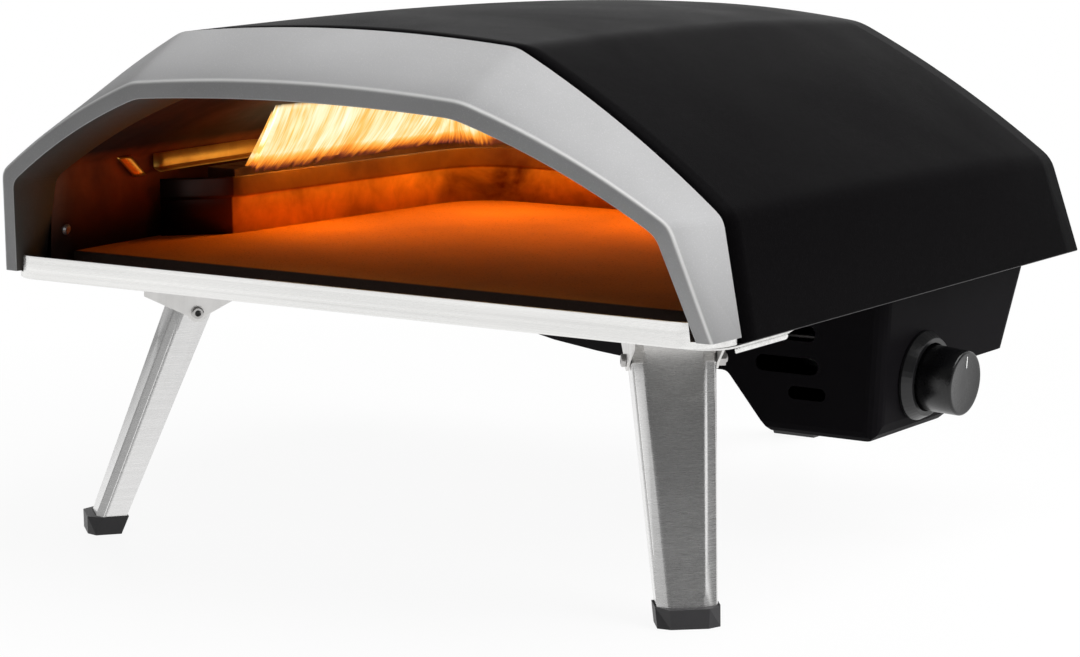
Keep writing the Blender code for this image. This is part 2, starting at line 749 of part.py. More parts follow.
def flame_guard(oven, steel):
    """The upright screen between the stone and the burner, with a proud top band."""
    path = rounded_path([(-GUARD_END_X, GUARD_NOSE_Y, 0), (GUARD_SIDE_X, GUARD_SIDE_Y, GUARD_NOSE_RADIUS),
                         (GUARD_REAR_X, GUARD_BACK_Y, GUARD_CORNER), (GUARD_END_X, GUARD_BACK_Y, 0)])
    proud = shift_path(path, GUARD_STEP)
    bottom = STONE_TOP_Z + GAP
    top = bottom + GUARD_HEIGHT
    band = top - GUARD_BAND
    levels = ((path, bottom), (path, band - GUARD_STEP), (proud, band), (proud, top))
    rows = [[(x, y, z) for x, y in line] for line, z in levels]
    return sheet("flame_guard", rows, GUARD_SHEET, -1, steel, oven)


def burner_rings(path, half, low, high):
    """Square rings along the burner's middle line."""
    left, right = shift_path(path, -half), shift_path(path, half)
    return [[(*a, low), (*b, low), (*b, high), (*a, high)] for a, b in zip(left, right)]


def burner(oven, steel):
    """The L-shaped hollow burner with its ports, feed hole and three feet."""
    corner = (BURNER_SIDE_X, BURNER_BACK_Y, BURNER_CORNER)
    outer = rounded_path([(BURNER_SIDE_X, BURNER_START_Y, 0), corner, (BURNER_END_X, BURNER_BACK_Y, 0)])
    inner = rounded_path([(BURNER_SIDE_X, BURNER_START_Y + BURNER_WALL, 0), corner,
                          (BURNER_END_X - BURNER_WALL, BURNER_BACK_Y, 0)])
    low, high = BURNER_BOTTOM_Z, BURNER_BOTTOM_Z + BURNER_HEIGHT
    half = BURNER_WIDTH / 2
    body = add("burner", loft_mesh("burner", burner_rings(outer, half, low, high)), steel, oven)
    rings = burner_rings(inner, half - BURNER_WALL, low + BURNER_WALL, high - BURNER_WALL)
    combine(body, cutter("burner_hollow", loft_mesh("burner_hollow", rings), oven))
    ports = []
    floor, roof = high - BURNER_WALL * 2, high + CUT
    side, across = PORT_WIDTH / 2, PORT_LENGTH / 2
    y = BURNER_START_Y + PORT_PITCH
    while y < BURNER_BACK_Y - BURNER_WIDTH:
        ports.append(((BURNER_SIDE_X - across, y - side, floor), (BURNER_SIDE_X + across, y + side, roof)))
        y += PORT_PITCH
    x = BURNER_SIDE_X + BURNER_WIDTH
    while x < BURNER_END_X - PORT_PITCH:
        ports.append(((x - side, BURNER_BACK_Y - across, floor), (x + side, BURNER_BACK_Y + across, roof)))
        x += PORT_PITCH
    combine(body, cutter("port_cutter", blocks_mesh("port_cutter", ports), oven))
    hole = rod_mesh("feed_hole", FEED_RADIUS - FEED_WALL, (FEED_X, BURNER_BACK_Y, low - CUT),
                    (FEED_X, BURNER_BACK_Y, low + CUT))
    combine(body, cutter("feed_hole", hole, oven))
    base = STONE_TOP_Z + GAP
    rise = BURNER_BOTTOM_Z - GAP - base
    profile = [(0, rise), (BURNER_FOOT_RADIUS, rise), (BURNER_FOOT_RADIUS, BURNER_FOOT_SHEET),
               (BURNER_FOOT_FLANGE, BURNER_FOOT_SHEET), (BURNER_FOOT_FLANGE, 0), (0, 0)]
    places = ((BURNER_SIDE_X, BURNER_FOOT_SIDE_Y), (BURNER_FOOT_LEFT_X, BURNER_BACK_Y),
              (BURNER_FOOT_RIGHT_X, BURNER_BACK_Y))
    for number, (x, y) in enumerate(places, 1):
        foot = turned("burner_foot_%d" % number, profile, steel, oven, steps=SMALL_STEPS)
        foot.location = (x, y, base)


def igniter_electrode(oven, ceramic):
    """The spark electrode that stands between the guard and the burner."""
    top = ELECTRODE_BODY + ELECTRODE_TIP
    profile = [(0, top), (ELECTRODE_TIP_RADIUS, top), (ELECTRODE_TIP_RADIUS, ELECTRODE_BODY),
               (ELECTRODE_RADIUS, ELECTRODE_BODY), (ELECTRODE_RADIUS, 0), (0, 0)]
    rod = turned("igniter_electrode", profile, ceramic, oven, steps=SMALL_STEPS)
    rod.location = (ELECTRODE_X, ELECTRODE_Y, STONE_TOP_Z + GAP)


def prism(outline, start, end, axis):
    """Two rings from an upright outline of (across, z), run along x or y."""
    if axis == "x":
        return [[(place, a, z) for a, z in outline] for place in (start, end)]
    return [[(a, place, z) for a, z in outline] for place in (start, end)]


def housing_outlines(wall):
    """The housing's front and side outlines, moved in by its wall.

    The side outline runs on above the top, and so does the front one of the hollow.
    """
    top = UNDER_TRAY_Z
    bottom_x = HOUSING_RIGHT_X - (top - HOUSING_BOTTOM_Z) * HOUSING_DRAFT
    front = rounded_path([
        (HOUSING_LEFT_X, top, 0), (HOUSING_LEFT_X, HOUSING_SHELF_Z, HOUSING_LEFT_CORNER),
        (HOUSING_SHELF_X, HOUSING_SHELF_Z, HOUSING_BEND), (HOUSING_DEEP_X, HOUSING_BOTTOM_Z, HOUSING_BEND),
        (bottom_x, HOUSING_BOTTOM_Z, HOUSING_CORNER), (HOUSING_RIGHT_X, top, 0)], 3)
    side = rounded_path([
        (HOUSING_FRONT_Y, top, 0), (HOUSING_FRONT_Y, HOUSING_BOTTOM_Z, HOUSING_BEND),
        (HOUSING_DEEP_Y, HOUSING_BOTTOM_Z, HOUSING_BEND), (HOUSING_SHELF_Y, HOUSING_SHELF_Z, HOUSING_BEND),
        (HOUSING_BACK_LOW_Y, HOUSING_SHELF_Z, HOUSING_BEND),
        (HOUSING_BACK_Y, HOUSING_BACK_LOW_Z, HOUSING_BEND), (HOUSING_BACK_Y, top, 0)], 3)
    front, side = shift_path(front, -wall), shift_path(side, -wall)
    raised = [(side[0][0], top + CUT)] + side + [(side[-1][0], top + CUT)]
    if wall:
        front = [(front[0][0], top + CUT)] + front + [(front[-1][0], top + CUT)]
    return front, raised


def housing_plan(wall):
    """Level rings that round the housing's upright right corners, moved in by its wall.

    Their flats stand a hair outside the housing's own, so that no two faces coincide.
    """
    proud, rings = HOUSING_EDGE_PROUD, []
    lean = (HOUSING_BACK_Y - HOUSING_BACK_LOW_Y) / (HOUSING_BACK_LOW_Z - HOUSING_SHELF_Z)
    for z in (HOUSING_BOTTOM_Z - CUT, HOUSING_BACK_LOW_Z, UNDER_TRAY_Z + 2 * CUT):
        right = HOUSING_RIGHT_X - (UNDER_TRAY_Z - z) * HOUSING_DRAFT + proud
        front = HOUSING_FRONT_Y - proud
        back = HOUSING_BACK_Y - max(HOUSING_BACK_LOW_Z - z, 0) * lean + proud
        left = HOUSING_LEFT_X - 2 * CUT
        ring = rounded_path([(left, front, 0), (right, front, HOUSING_EDGE), (right, back, HOUSING_EDGE),
                             (left, back, 0)])
        rings.append([(x, y, z) for x, y in shift_path(ring, -wall)])
    return rings


def burner_housing(oven, paint, holder):
    """The black box that holds the valve, open to the tray, with three front slots."""
    front, side = housing_outlines(0)
    y0, y1 = HOUSING_FRONT_Y - CUT, HOUSING_BACK_Y + CUT
    x0, x1 = HOUSING_LEFT_X - CUT, HOUSING_RIGHT_X + CUT
    body = add("burner_housing", loft_mesh("burner_housing", prism(front, y0, y1, "y")), paint, oven)
    combine(body, cutter("housing_side", loft_mesh("housing_side", prism(side, x0, x1, "x")), oven), "INTERSECT")
    combine(body, cutter("housing_plan", loft_mesh("housing_plan", housing_plan(0)), oven), "INTERSECT")
    front, side = housing_outlines(HOUSING_WALL)
    hollow = cutter("housing_hollow", loft_mesh("housing_hollow", prism(front, y0, y1, "y")), oven)
    inner = cutter("housing_inner", loft_mesh("housing_inner", prism(side, x0, x1, "x")), oven)
    combine(hollow, inner, "INTERSECT")
    plan = cutter("housing_inner_plan", loft_mesh("housing_inner_plan", housing_plan(HOUSING_WALL)), oven)
    combine(hollow, plan, "INTERSECT")
    combine(body, hollow)
    y1 = HOUSING_FRONT_Y + CUT
    for number, (left, right, low, high) in enumerate(SLOTS, 1):
        end = (high - low) / 2
        ends = arc((right - end, low + end), end, -math.pi / 2, math.pi / 2)
        ends += arc((left + end, low + end), end, math.pi / 2, 3 * math.pi / 2)
        name = "front_slot_%d" % number
        combine(body, cutter(name, loft_mesh(name, prism(ends, y0, y1, "y")), oven))
    bore = rod_mesh("stem_hole", STEM_HOLE, (0, 0, -CUT), (0, 0, CUT))
    combine(body, cutter("stem_hole", bore, holder))
    bore = rod_mesh("inlet_hole", INLET_NECK_RADIUS + GAP, (INLET_X, HOUSING_BACK_LOW_Y - CUT, INLET_Z),
                    (INLET_X, HOUSING_BACK_Y + CUT, INLET_Z))
    combine(body, cutter("inlet_hole", bore, oven))


def intake_duct(oven, paint):
    """The tapering trough that runs left from the housing under the tray."""
    right = HOUSING_LEFT_X - GAP
    left = right - DUCT_LENGTH
    deep = UNDER_TRAY_Z - HOUSING_SHELF_Z
    floor = [(left + DUCT_LENGTH * a, UNDER_TRAY_Z - deep * b) for a, b in DUCT_FLOOR_SHARES]
    outline = [(left, UNDER_TRAY_Z)] + floor + [(right, UNDER_TRAY_Z)]
    y0, y1 = HOUSING_FRONT_Y, HOUSING_FRONT_Y + DUCT_DEPTH
    body = add("intake_duct", loft_mesh("intake_duct", prism(outline, y0, y1, "y")), paint, oven)
    inner = shift_path(outline, -HOUSING_WALL)
    inner[0] = (inner[0][0], UNDER_TRAY_Z + CUT)
    inner[-1] = (inner[-1][0], UNDER_TRAY_Z + CUT)
    rings = prism(inner, y0 + HOUSING_WALL, y1 - HOUSING_WALL, "y")
    combine(body, cutter("duct_hollow", loft_mesh("duct_hollow", rings), oven))


def mixing_tube(oven, mouth, direction, steel):
    """The hollow tube from the jet up through the tray to the burner."""
    top = Vector((FEED_X, BURNER_BACK_Y, BURNER_BOTTOM_Z - GAP))
    upright = Vector((FEED_X, BURNER_BACK_Y, TRAY_BOTTOM_Z - FEED_STRAIGHT))
    knee = Vector((FEED_X, BURNER_BACK_Y, TRAY_BOTTOM_Z - FEED_DROP))
    first = mouth + direction * FEED_DROP
    route = smooth_route([mouth, first, first.lerp(knee, 0.5), knee, upright, top])
    rows = []
    side = Vector((0, 1, 0))
    for i, point in enumerate(route):
        ahead = route[min(i + 1, len(route) - 1)] - route[max(i - 1, 0)]
        if i == 0:
            ahead = direction.copy()
        elif i == len(route) - 1:
            ahead = Vector((0, 0, 1))
        ahead.normalize()
        side = (side - ahead * side.dot(ahead)).normalized()
        other = ahead.cross(side)
        rows.append([point + side * a + other * b for a, b in circle(FEED_RADIUS, (0, 0), 16)])
    return sheet("mixing_tube", rows, FEED_WALL, -1, steel, oven, closed=True)


def gas_train(oven, holder, brass, steel, plastic):
    """Valve, jet, mixing tube, pipe, inlet and the piezo igniter's case."""
    start = -HOUSING_WALL - GAP
    end = start - VALVE_LENGTH
    bore = PLUG_RADIUS + GAP
    profile = [(0, start - VALVE_BORE), (bore, start - VALVE_BORE), (bore, start), (VALVE_RADIUS, start),
               (VALVE_RADIUS, end), (0, end)]
    turned("gas_valve", profile, brass, holder)
    jet = end - GAP
    profile = [(0, jet), (JET_RADIUS, jet), (JET_RADIUS, jet - JET_LENGTH * 0.6),
               (JET_TIP_RADIUS, jet - JET_LENGTH), (0, jet - JET_LENGTH)]
    turned("gas_jet", profile, brass, holder, steps=SMALL_STEPS)
    near = VALVE_RADIUS + GAP
    case = ((-IGNITER_HEIGHT / 2, near, start - IGNITER_LENGTH), (IGNITER_HEIGHT / 2, near + IGNITER_DEPTH, start))
    add("piezo_igniter", blocks_mesh("piezo_igniter", [case]), plastic, holder)
    mouth = holder.matrix_basis @ Vector((0, 0, jet - JET_LENGTH - JET_STANDOFF))
    mixing_tube(oven, mouth, (mouth - holder.matrix_basis.translation).normalized(), steel)
    port = holder.matrix_basis @ Vector((-VALVE_RADIUS - 2 * GAP, 0, start - VALVE_LENGTH * 0.75))
    over = port + Vector((0, 0, PIPE_RISE))
    inlet = Vector((INLET_X, INLET_START_Y - GAP, INLET_Z))
    before = Vector((INLET_X, INLET_START_Y - FEED_DROP, INLET_Z))
    pipe("gas_pipe", [port, over, over.lerp(before, 0.3), before, inlet], PIPE_RADIUS, steel, oven)
    turn = Matrix.Rotation(-math.pi / 2, 3, "X")
    fitting = frame_at("inlet_frame", oven, (INLET_X, INLET_START_Y, INLET_Z), turn)
    profile = [(0, INLET_LENGTH), (INLET_RADIUS, INLET_LENGTH), (INLET_RADIUS, INLET_NECK),
               (INLET_NECK_RADIUS, INLET_NECK), (INLET_NECK_RADIUS, 0), (0, 0)]
    turned("gas_inlet", profile, brass, fitting)


def knob(holder, plastic, brass, steel):
    """Collar on the housing, the valve's turning plug, the sliding stem and the knob."""
    bore = KNOB_RADIUS + COLLAR_CLEARANCE
    face = GAP + COLLAR_DEPTH
    profile = [(bore, face), (COLLAR_FACE_RADIUS, face), (COLLAR_RADIUS, GAP + COLLAR_EDGE),
               (COLLAR_RADIUS, GAP), (bore, GAP)]
    turned("knob_collar", profile, plastic, holder, closed=True, steps=2 * ROUND_STEPS)
    bore = STEM_RADIUS + GAP
    end = -PLUG_START - PLUG_LENGTH
    profile = [(bore, -PLUG_START), (PLUG_RADIUS, -PLUG_START), (PLUG_RADIUS, end), (bore, end)]
    turned("valve_plug", profile, brass, holder, closed=True)
    seat = KNOB_START + KNOB_SEAT
    profile = [(0, seat - GAP), (STEM_RADIUS, seat - GAP), (STEM_RADIUS, -STEM_REACH), (0, -STEM_REACH)]
    turned("valve_stem", profile, steel, holder)
    profile = [(0, KNOB_END), (KNOB_FACE_RADIUS - KNOB_EDGE, KNOB_END), (KNOB_FACE_RADIUS, KNOB_END - KNOB_EDGE),
               (KNOB_RADIUS, KNOB_START), (bore, KNOB_START), (bore, seat), (0, seat)]
    turned("control_knob", profile, plastic, holder, steps=2 * ROUND_STEPS)


def leg_section(share, foot_half, grow=0.0):
    """A leg's outline of (across, outward) at a share of its length, grown all round."""
    half = LEG_TOP_HALF + (foot_half - LEG_TOP_HALF) * share + grow
    face = LEG_FACE_TOP + (LEG_FACE_FOOT - LEG_FACE_TOP) * share + grow
    back = -LEG_BACK_TOP - (LEG_BACK_FOOT - LEG_BACK_TOP) * share - grow
    flat = half - LEG_CHAMFER
    edge = face - LEG_CHAMFER_DEPTH
    return [(-half, back), (-half, edge), (-flat, face), (flat, face), (half, edge), (half, back)]


def leg_point(across, outward, depth, splay):
    """A point of a splayed leg in its pin's frame: x along the pin, y out, z up."""
    y = outward * math.cos(splay) + depth * math.sin(splay)
    return Vector((across, y, outward * math.sin(splay) - depth * math.cos(splay)))


def leg_level(height, form, grow=0.0):
    """A level ring of leg points at a height above the floor."""
    splay, foot_half = form
    drop = LEG_DROP - height
    points = []
    for across, outward in leg_section(drop / LEG_DROP, foot_half, grow):
        depth = (drop + outward * math.sin(splay)) / math.cos(splay)
        points.append(leg_point(across, outward, depth, splay))
    return points


def leg_channel(name, pin, form, bore, steel):
    """The folded channel of a leg, which stops against its bracket's plate."""
    splay, foot_half = form
    rise = (PIN_DROP - GAP - LEG_FACE_TOP * math.sin(splay)) / math.cos(splay)
    rows = [[leg_point(a, n, depth, splay) for a, n in leg_section(0, foot_half)] for depth in (-rise, 0)]
    rows += [leg_level(height, form) for height in (CAP_HEIGHT + CUT, CAP_WALL + GAP)]
    channel = sheet("leg_" + name, rows, LEG_SHEET, -1, steel, pin)
    combine(channel, bore)


def foot_cap(name, pin, form, rubber):
    """The cap round a leg's foot, with a plug inside the channel and an upright toe."""
    floor = leg_level(0, form, CAP_GROWTH)
    crown = leg_level(CAP_HEIGHT, form, CAP_GROWTH)
    for i in (2, 3):
        crown[i].y = floor[i].y
    cap = add("foot_cap_" + name, loft_mesh("foot_cap_" + name, [floor, crown]), rubber, pin)
    rows = [leg_level(CAP_HEIGHT + CUT, form, GAP), leg_level(CAP_WALL, form, GAP)]
    slot = sheet("cap_slot_" + name, rows, LEG_SHEET + 2 * GAP, -1, None, pin, collection=CUTTERS)
    slot.hide_render = True
    slot.display_type = "WIRE"
    combine(cap, slot)


def leg_bracket(name, pin, reach_in, reach_out, bore, steel):
    """The bracket under the tray, with two cheeks and two rivets."""
    top = PIN_DROP + BRACKET_SHEET
    ear = arc((0, 0), BRACKET_EAR, -math.radians(160), -math.radians(20), 8)
    cheek_out = min(BRACKET_CHEEK, reach_out)
    outline = [(-reach_in, top), (-reach_in, PIN_DROP), (-BRACKET_CHEEK, PIN_DROP)]
    outline += [(-BRACKET_CHEEK, BRACKET_SHOULDER)] + ear + [(cheek_out, BRACKET_SHOULDER)]
    if reach_out > cheek_out:
        outline += [(cheek_out, PIN_DROP), (reach_out, PIN_DROP)]
    outline += [(reach_out, top)]
    label = "leg_bracket_" + name
    bracket = add(label, loft_mesh(label, prism(outline, -CHEEK_OUTER, CHEEK_OUTER, "x")), steel, pin)
    low = (-CHEEK_INNER, -reach_in - CUT, -BRACKET_EAR - CUT)
    room = blocks_mesh("bracket_room_" + name, [(low, (CHEEK_INNER, reach_out + CUT, PIN_DROP))])
    combine(bracket, cutter("bracket_room_" + name, room, pin))
    combine(bracket, bore)
    for number, side in enumerate((-1, 1), 1):
        base = frame_at("rivet_frame_%s_%d" % (name, number), pin, (side * RIVET_SIDE, -RIVET_IN, PIN_DROP))
        label = "rivet_hole_%s_%d" % (name, number)
        hole = rod_mesh(label, RIVET_SHANK + GAP, (0, 0, -CUT), (0, 0, CUT), SMALL_STEPS)
        combine(bracket, cutter(label, hole, base))
        profile = [(0, BRACKET_SHEET), (RIVET_SHANK, BRACKET_SHEET), (RIVET_SHANK, -GAP), (RIVET_RADIUS, -GAP),
                   (RIVET_RADIUS * 0.8, -GAP - RIVET_HEAD * 0.7), (0, -GAP - RIVET_HEAD)]
        turned("bracket_rivet_%s_%d" % (name, number), profile, steel, base, steps=SMALL_STEPS)


def hinge_pin(name, pin, head_side, dark):
    """The screw that the leg turns on, with its nut."""
    turn = Matrix.Rotation(head_side * math.pi / 2, 3, "Y")
    shaft = frame_at("pin_frame_" + name, pin, (0, 0, 0), turn)
    end = CHEEK_OUTER + GAP
    profile = [(0, end + PIN_HEAD), (PIN_HEAD_RADIUS, end + PIN_HEAD), (PIN_HEAD_RADIUS, end),
               (PIN_RADIUS, end), (PIN_RADIUS, -end - PIN_TAIL), (0, -end - PIN_TAIL)]
    turned("hinge_pin_" + name, profile, dark, shaft)
    nut = rod_mesh("hinge_nut_" + name, NUT_RADIUS, (0, 0, -end - NUT_THICKNESS), (0, 0, -end), 6)
    hole = rod_mesh("nut_hole_" + name, PIN_RADIUS + GAP, (0, 0, -end - NUT_THICKNESS - CUT), (0, 0, -end + CUT))
    combine(add("hinge_nut_" + name, nut, dark, shaft), cutter("nut_hole_" + name, hole, shaft))


def leg(name, pin, form, reach_in, reach_out, head_side, looks):
    """One leg with its bracket, pin, nut, rivets and foot cap, in its pin's frame."""
    steel, dark, rubber = looks
    reach = CHEEK_OUTER + CUT
    bore = rod_mesh("pin_hole_" + name, PIN_RADIUS + GAP, (-reach, 0, 0), (reach, 0, 0))
    bore = cutter("pin_hole_" + name, bore, pin)
    leg_channel(name, pin, form, bore, steel)
    foot_cap(name, pin, form, rubber)
    leg_bracket(name, pin, reach_in, reach_out, bore, steel)
    hinge_pin(name, pin, head_side, dark)


def legs(oven, looks):
    """Two front legs turned outwards and one at the back."""
    for side, name in ((-1, "front_left"), (1, "front_right")):
        turn = Matrix.Rotation(math.pi + side * FRONT_TURN, 3, "Z")
        pin = frame_at("hinge_" + name, oven, (side * FRONT_PIN_X, FRONT_PIN_Y, PIN_Z), turn)
        leg(name, pin, (FRONT_SPLAY, FRONT_FOOT_HALF), BRACKET_REACH, BRACKET_REACH, side, looks)
    pin = frame_at("hinge_rear", oven, (0, REAR_PIN_Y, PIN_Z))
    leg("rear", pin, (REAR_SPLAY, REAR_FOOT_HALF), REAR_BRACKET_IN, REAR_BRACKET_OUT, 1, looks)


def build():
    """Make every part."""
    oven = clear_scene()
    powder = finish("black_powder_coat", (0.016, 0.016, 0.018), 0.62, 0.0)
    grey = finish("grey_powder_coat", (0.33, 0.33, 0.34), 0.5, 0.3)
    steel = finish("brushed_stainless", (0.72, 0.71, 0.69), 0.3, 1.0)
    burnt = finish("heat_stained_steel", (0.30, 0.22, 0.17), 0.45, 1.0)
    dark = finish("black_oxide", (0.03, 0.03, 0.032), 0.45, 0.4)
    fibre = finish("ceramic_fibre", (0.82, 0.81, 0.78), 0.95, 0.0)
    stone = finish("cordierite", (0.62, 0.47, 0.33), 0.9, 0.0)
    brass = finish("brass", (0.72, 0.53, 0.24), 0.35, 1.0)
    ceramic = finish("white_ceramic", (0.86, 0.85, 0.82), 0.4, 0.0)
    plastic = finish("black_plastic", (0.02, 0.02, 0.021), 0.5, 0.0)
    rubber = finish("black_rubber", (0.025, 0.025, 0.026), 0.8, 0.0)
    outer_shell(oven, powder)
    rear_panel(oven, powder)
    front_fascia(oven, grey)
    chamber(oven, burnt, fibre)
    base_tray(oven, steel)
    front_lip(oven, steel)
    baking_stone(oven, stone)
    flame_guard(oven, burnt)
    burner(oven, burnt)
    igniter_electrode(oven, ceramic)
    turn = Matrix.Rotation(math.pi / 2 + KNOB_TILT, 3, "Y")
    holder = frame_at("knob_axis", oven, (KNOB_X, KNOB_Y, KNOB_Z), turn)
    burner_housing(oven, powder, holder)
    intake_duct(oven, powder)
    gas_train(oven, holder, brass, steel, plastic)
    knob(holder, plastic, brass, steel)
    legs(oven, (steel, dark, rubber))


build()
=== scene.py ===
"""Looks of a portable gas pizza oven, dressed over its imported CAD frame.

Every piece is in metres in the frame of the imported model. The oven's own coordinates
start at the foot of the fascia (x to the right, y to the back, z up), and `Site` moves
them into place. Rolled and folded sheets are grids of points worked out with numpy.
"""

import logging
import math
from dataclasses import dataclass, field
from enum import Enum
from typing import Optional, Sequence

import bmesh
import bpy
import numpy as np
from mathutils import Matrix, Vector


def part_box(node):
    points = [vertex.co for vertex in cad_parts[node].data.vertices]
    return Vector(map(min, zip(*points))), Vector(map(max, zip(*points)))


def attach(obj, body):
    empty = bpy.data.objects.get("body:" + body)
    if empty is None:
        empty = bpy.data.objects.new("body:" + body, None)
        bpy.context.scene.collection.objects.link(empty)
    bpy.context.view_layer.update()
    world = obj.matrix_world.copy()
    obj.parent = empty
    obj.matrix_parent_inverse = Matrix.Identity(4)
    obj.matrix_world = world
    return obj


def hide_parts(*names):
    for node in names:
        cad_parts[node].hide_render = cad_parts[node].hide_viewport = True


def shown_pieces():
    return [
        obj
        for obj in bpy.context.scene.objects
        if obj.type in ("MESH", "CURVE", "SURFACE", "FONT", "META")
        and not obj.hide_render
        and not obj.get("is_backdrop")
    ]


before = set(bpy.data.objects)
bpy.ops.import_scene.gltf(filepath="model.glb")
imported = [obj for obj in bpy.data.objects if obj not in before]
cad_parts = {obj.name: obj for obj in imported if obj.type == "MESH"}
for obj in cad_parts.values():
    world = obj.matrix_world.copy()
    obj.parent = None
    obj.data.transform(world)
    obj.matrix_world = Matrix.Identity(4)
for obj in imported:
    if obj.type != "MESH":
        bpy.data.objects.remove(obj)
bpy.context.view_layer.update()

log = logging.getLogger("pizza_oven")
Array = np.ndarray
Colour = tuple[float, float, float]
Point = tuple[float, float, float]
Socket = bpy.types.NodeSocket
Sockets = bpy.types.bpy_prop_collection
Span = tuple[float, float, float, float]

OVEN_BODY = "oven"
KNOB_BODY = "control_knob"
LEG_NAMES = ("front_left", "front_right", "rear")
MOUTH_REACH = 0.0399
WELD_REACH = 0.00002
# The point attribute that holds the strength of the painted highlight along the fascia's folds.
FOLD_HIGHLIGHT_MASK = "fold"


class Shade(Enum):
    """How a new surface is shaded."""

    SMOOTH = True
    FLAT = False


# Surfaces


@dataclass(frozen=True)
class Site:
    """Where the oven's own origin, the fascia's foot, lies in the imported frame."""

    origin: Point

    @classmethod
    def from_frame(cls) -> "Site":
        """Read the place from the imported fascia.

        Returns:
            The site whose y follows the fascia's nose and whose z is the fascia's foot.
        """
        low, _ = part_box("front_fascia")
        return cls((0.0, low.y + MOUTH_REACH, low.z))

    def place(self, points: Array) -> Array:
        """Move oven points (..., 3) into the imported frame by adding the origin."""
        return np.asarray(points, float) + np.array(self.origin)


def add_object(name: str, data: bpy.types.ID) -> bpy.types.Object:
    """Put a new object into the scene.

    Args:
        name: Its name.
        data: Its mesh, camera or light.

    Returns:
        The object, at the origin.
    """
    item = bpy.data.objects.new(name, data)
    bpy.context.scene.collection.objects.link(item)
    return item


def grid_mesh(name: str, points: Array, closed: bool = False,
              shade: Shade = Shade.SMOOTH) -> bpy.types.Object:
    """Make a mesh of quads over a grid of points.

    The quad at (row, column) joins it to the next column and the next row, so it faces
    along (next column) x (next row).

    Args:
        name: The piece's name.
        points: Array (rows, columns, 3).
        closed: Join the last column to the first, and close the first and last rows with
            a fan round a middle point.
        shade: Smooth or flat shading.

    Returns:
        The new object, at the origin.
    """
    rows, columns = points.shape[:2]
    index = np.arange(rows * columns).reshape(rows, columns)
    around = np.roll(index, -1, axis=1)
    left, right = (index, around) if closed else (index[:, :-1], index[:, 1:])
    faces = np.stack([left[:-1], right[:-1], right[1:], left[1:]], -1).reshape(-1, 4).tolist()
    vertices = points.reshape(-1, 3)
    if closed:
        first, last = len(vertices), len(vertices) + 1
        vertices = np.vstack([vertices, points[0].mean(0), points[-1].mean(0)])
        faces += np.stack([around[0], index[0], np.full(columns, first)], -1).tolist()
        faces += np.stack([index[-1], around[-1], np.full(columns, last)], -1).tolist()
    mesh = bpy.data.meshes.new(name)
    mesh.from_pydata(vertices.tolist(), [], faces)
    mesh.polygons.foreach_set("use_smooth", np.full(len(mesh.polygons), shade.value))
    mesh.update()
    return add_object(name, mesh)


def round_rows(grid: Array, reaches: dict[int, float], steps: int = 4) -> Array:
    """Round a grid's corner rows.

    Each corner is replaced by a parabola that starts and ends a reach away from it, on
    the straight lines to its neighbours.

    Args:
        grid: Array (rows, columns, 3).
        reaches: Row number to reach, in metres.
        steps: Pieces of each parabola.

    Returns:
        The longer grid.
    """
    share = np.linspace(0, 1, steps + 1)[:, None, None]
    made: list[Array] = []
    for i in range(len(grid)):
        if i not in reaches:
            made.append(grid[i:i + 1])
            continue
        here = grid[i]
        back, ahead = grid[i - 1] - here, grid[i + 1] - here
        start = here + back * reaches[i] / np.linalg.norm(back, axis=-1, keepdims=True)
        end = here + ahead * reaches[i] / np.linalg.norm(ahead, axis=-1, keepdims=True)
        made.append((1 - share) ** 2 * start + 2 * share * (1 - share) * here + share ** 2 * end)
    return np.concatenate(made)


def round_columns(grid: Array, reaches: dict[int, float]) -> Array:
    """Round a grid's corner columns, as round_rows does its rows."""
    return round_rows(grid.transpose(1, 0, 2), reaches).transpose(1, 0, 2)


def turned_points(profile: Array, centre: Array, axis: Array, steps: int) -> Array:
    """Turn a profile round an axis.

    A point is centre + axis * height + radius * (side * cos + other * sin) of the turn.

    Args:
        profile: Array (n, 2) of radius and height, from the outside rim inwards.
        centre: The axis' origin.
        axis: The axis' direction.
        steps: Points round the turn.

    Returns:
        Array (n, steps, 3).
    """
    axis = axis / np.linalg.norm(axis)
    side = np.cross(axis, (0.0, 1.0, 0.0))
    side /= np.linalg.norm(side)
    other = np.cross(axis, side)
    turn = np.linspace(0, 2 * math.pi, steps, endpoint=False)
    spoke = side * np.cos(turn)[:, None] + other * np.sin(turn)[:, None]
    return centre + axis * profile[:, 1][:, None, None] + spoke * profile[:, 0][:, None, None]


def bent_path(corners: Sequence[Point], steps: int = 12) -> Array:
    """Points along straight runs whose corners are arcs.

    Args:
        corners: (x, y, radius) rows; the ends have no radius.
        steps: Pieces of each arc.

    Returns:
        Array (n, 2).
    """
    rows = np.array(corners, float)
    made = [rows[:1, :2]]
    for before, here, after in zip(rows, rows[1:], rows[2:]):
        back, ahead = before[:2] - here[:2], after[:2] - here[:2]
        back, ahead = back / np.linalg.norm(back), ahead / np.linalg.norm(ahead)
        half = math.acos(float(np.dot(back, ahead))) / 2
        reach = here[2] / math.tan(half)
        middle = here[:2] + (back + ahead) / np.linalg.norm(back + ahead) * here[2] / math.sin(half)
        start, end = here[:2] + back * reach - middle, here[:2] + ahead * reach - middle
        swing = math.atan2(start[0] * end[1] - start[1] * end[0], float(np.dot(start, end)))
        turn = math.atan2(start[1], start[0]) + swing * np.linspace(0, 1, steps + 1)[:, None]
        made.append(middle + here[2] * np.hstack([np.cos(turn), np.sin(turn)]))
    made.append(rows[-1:, :2])
    return np.vstack(made)


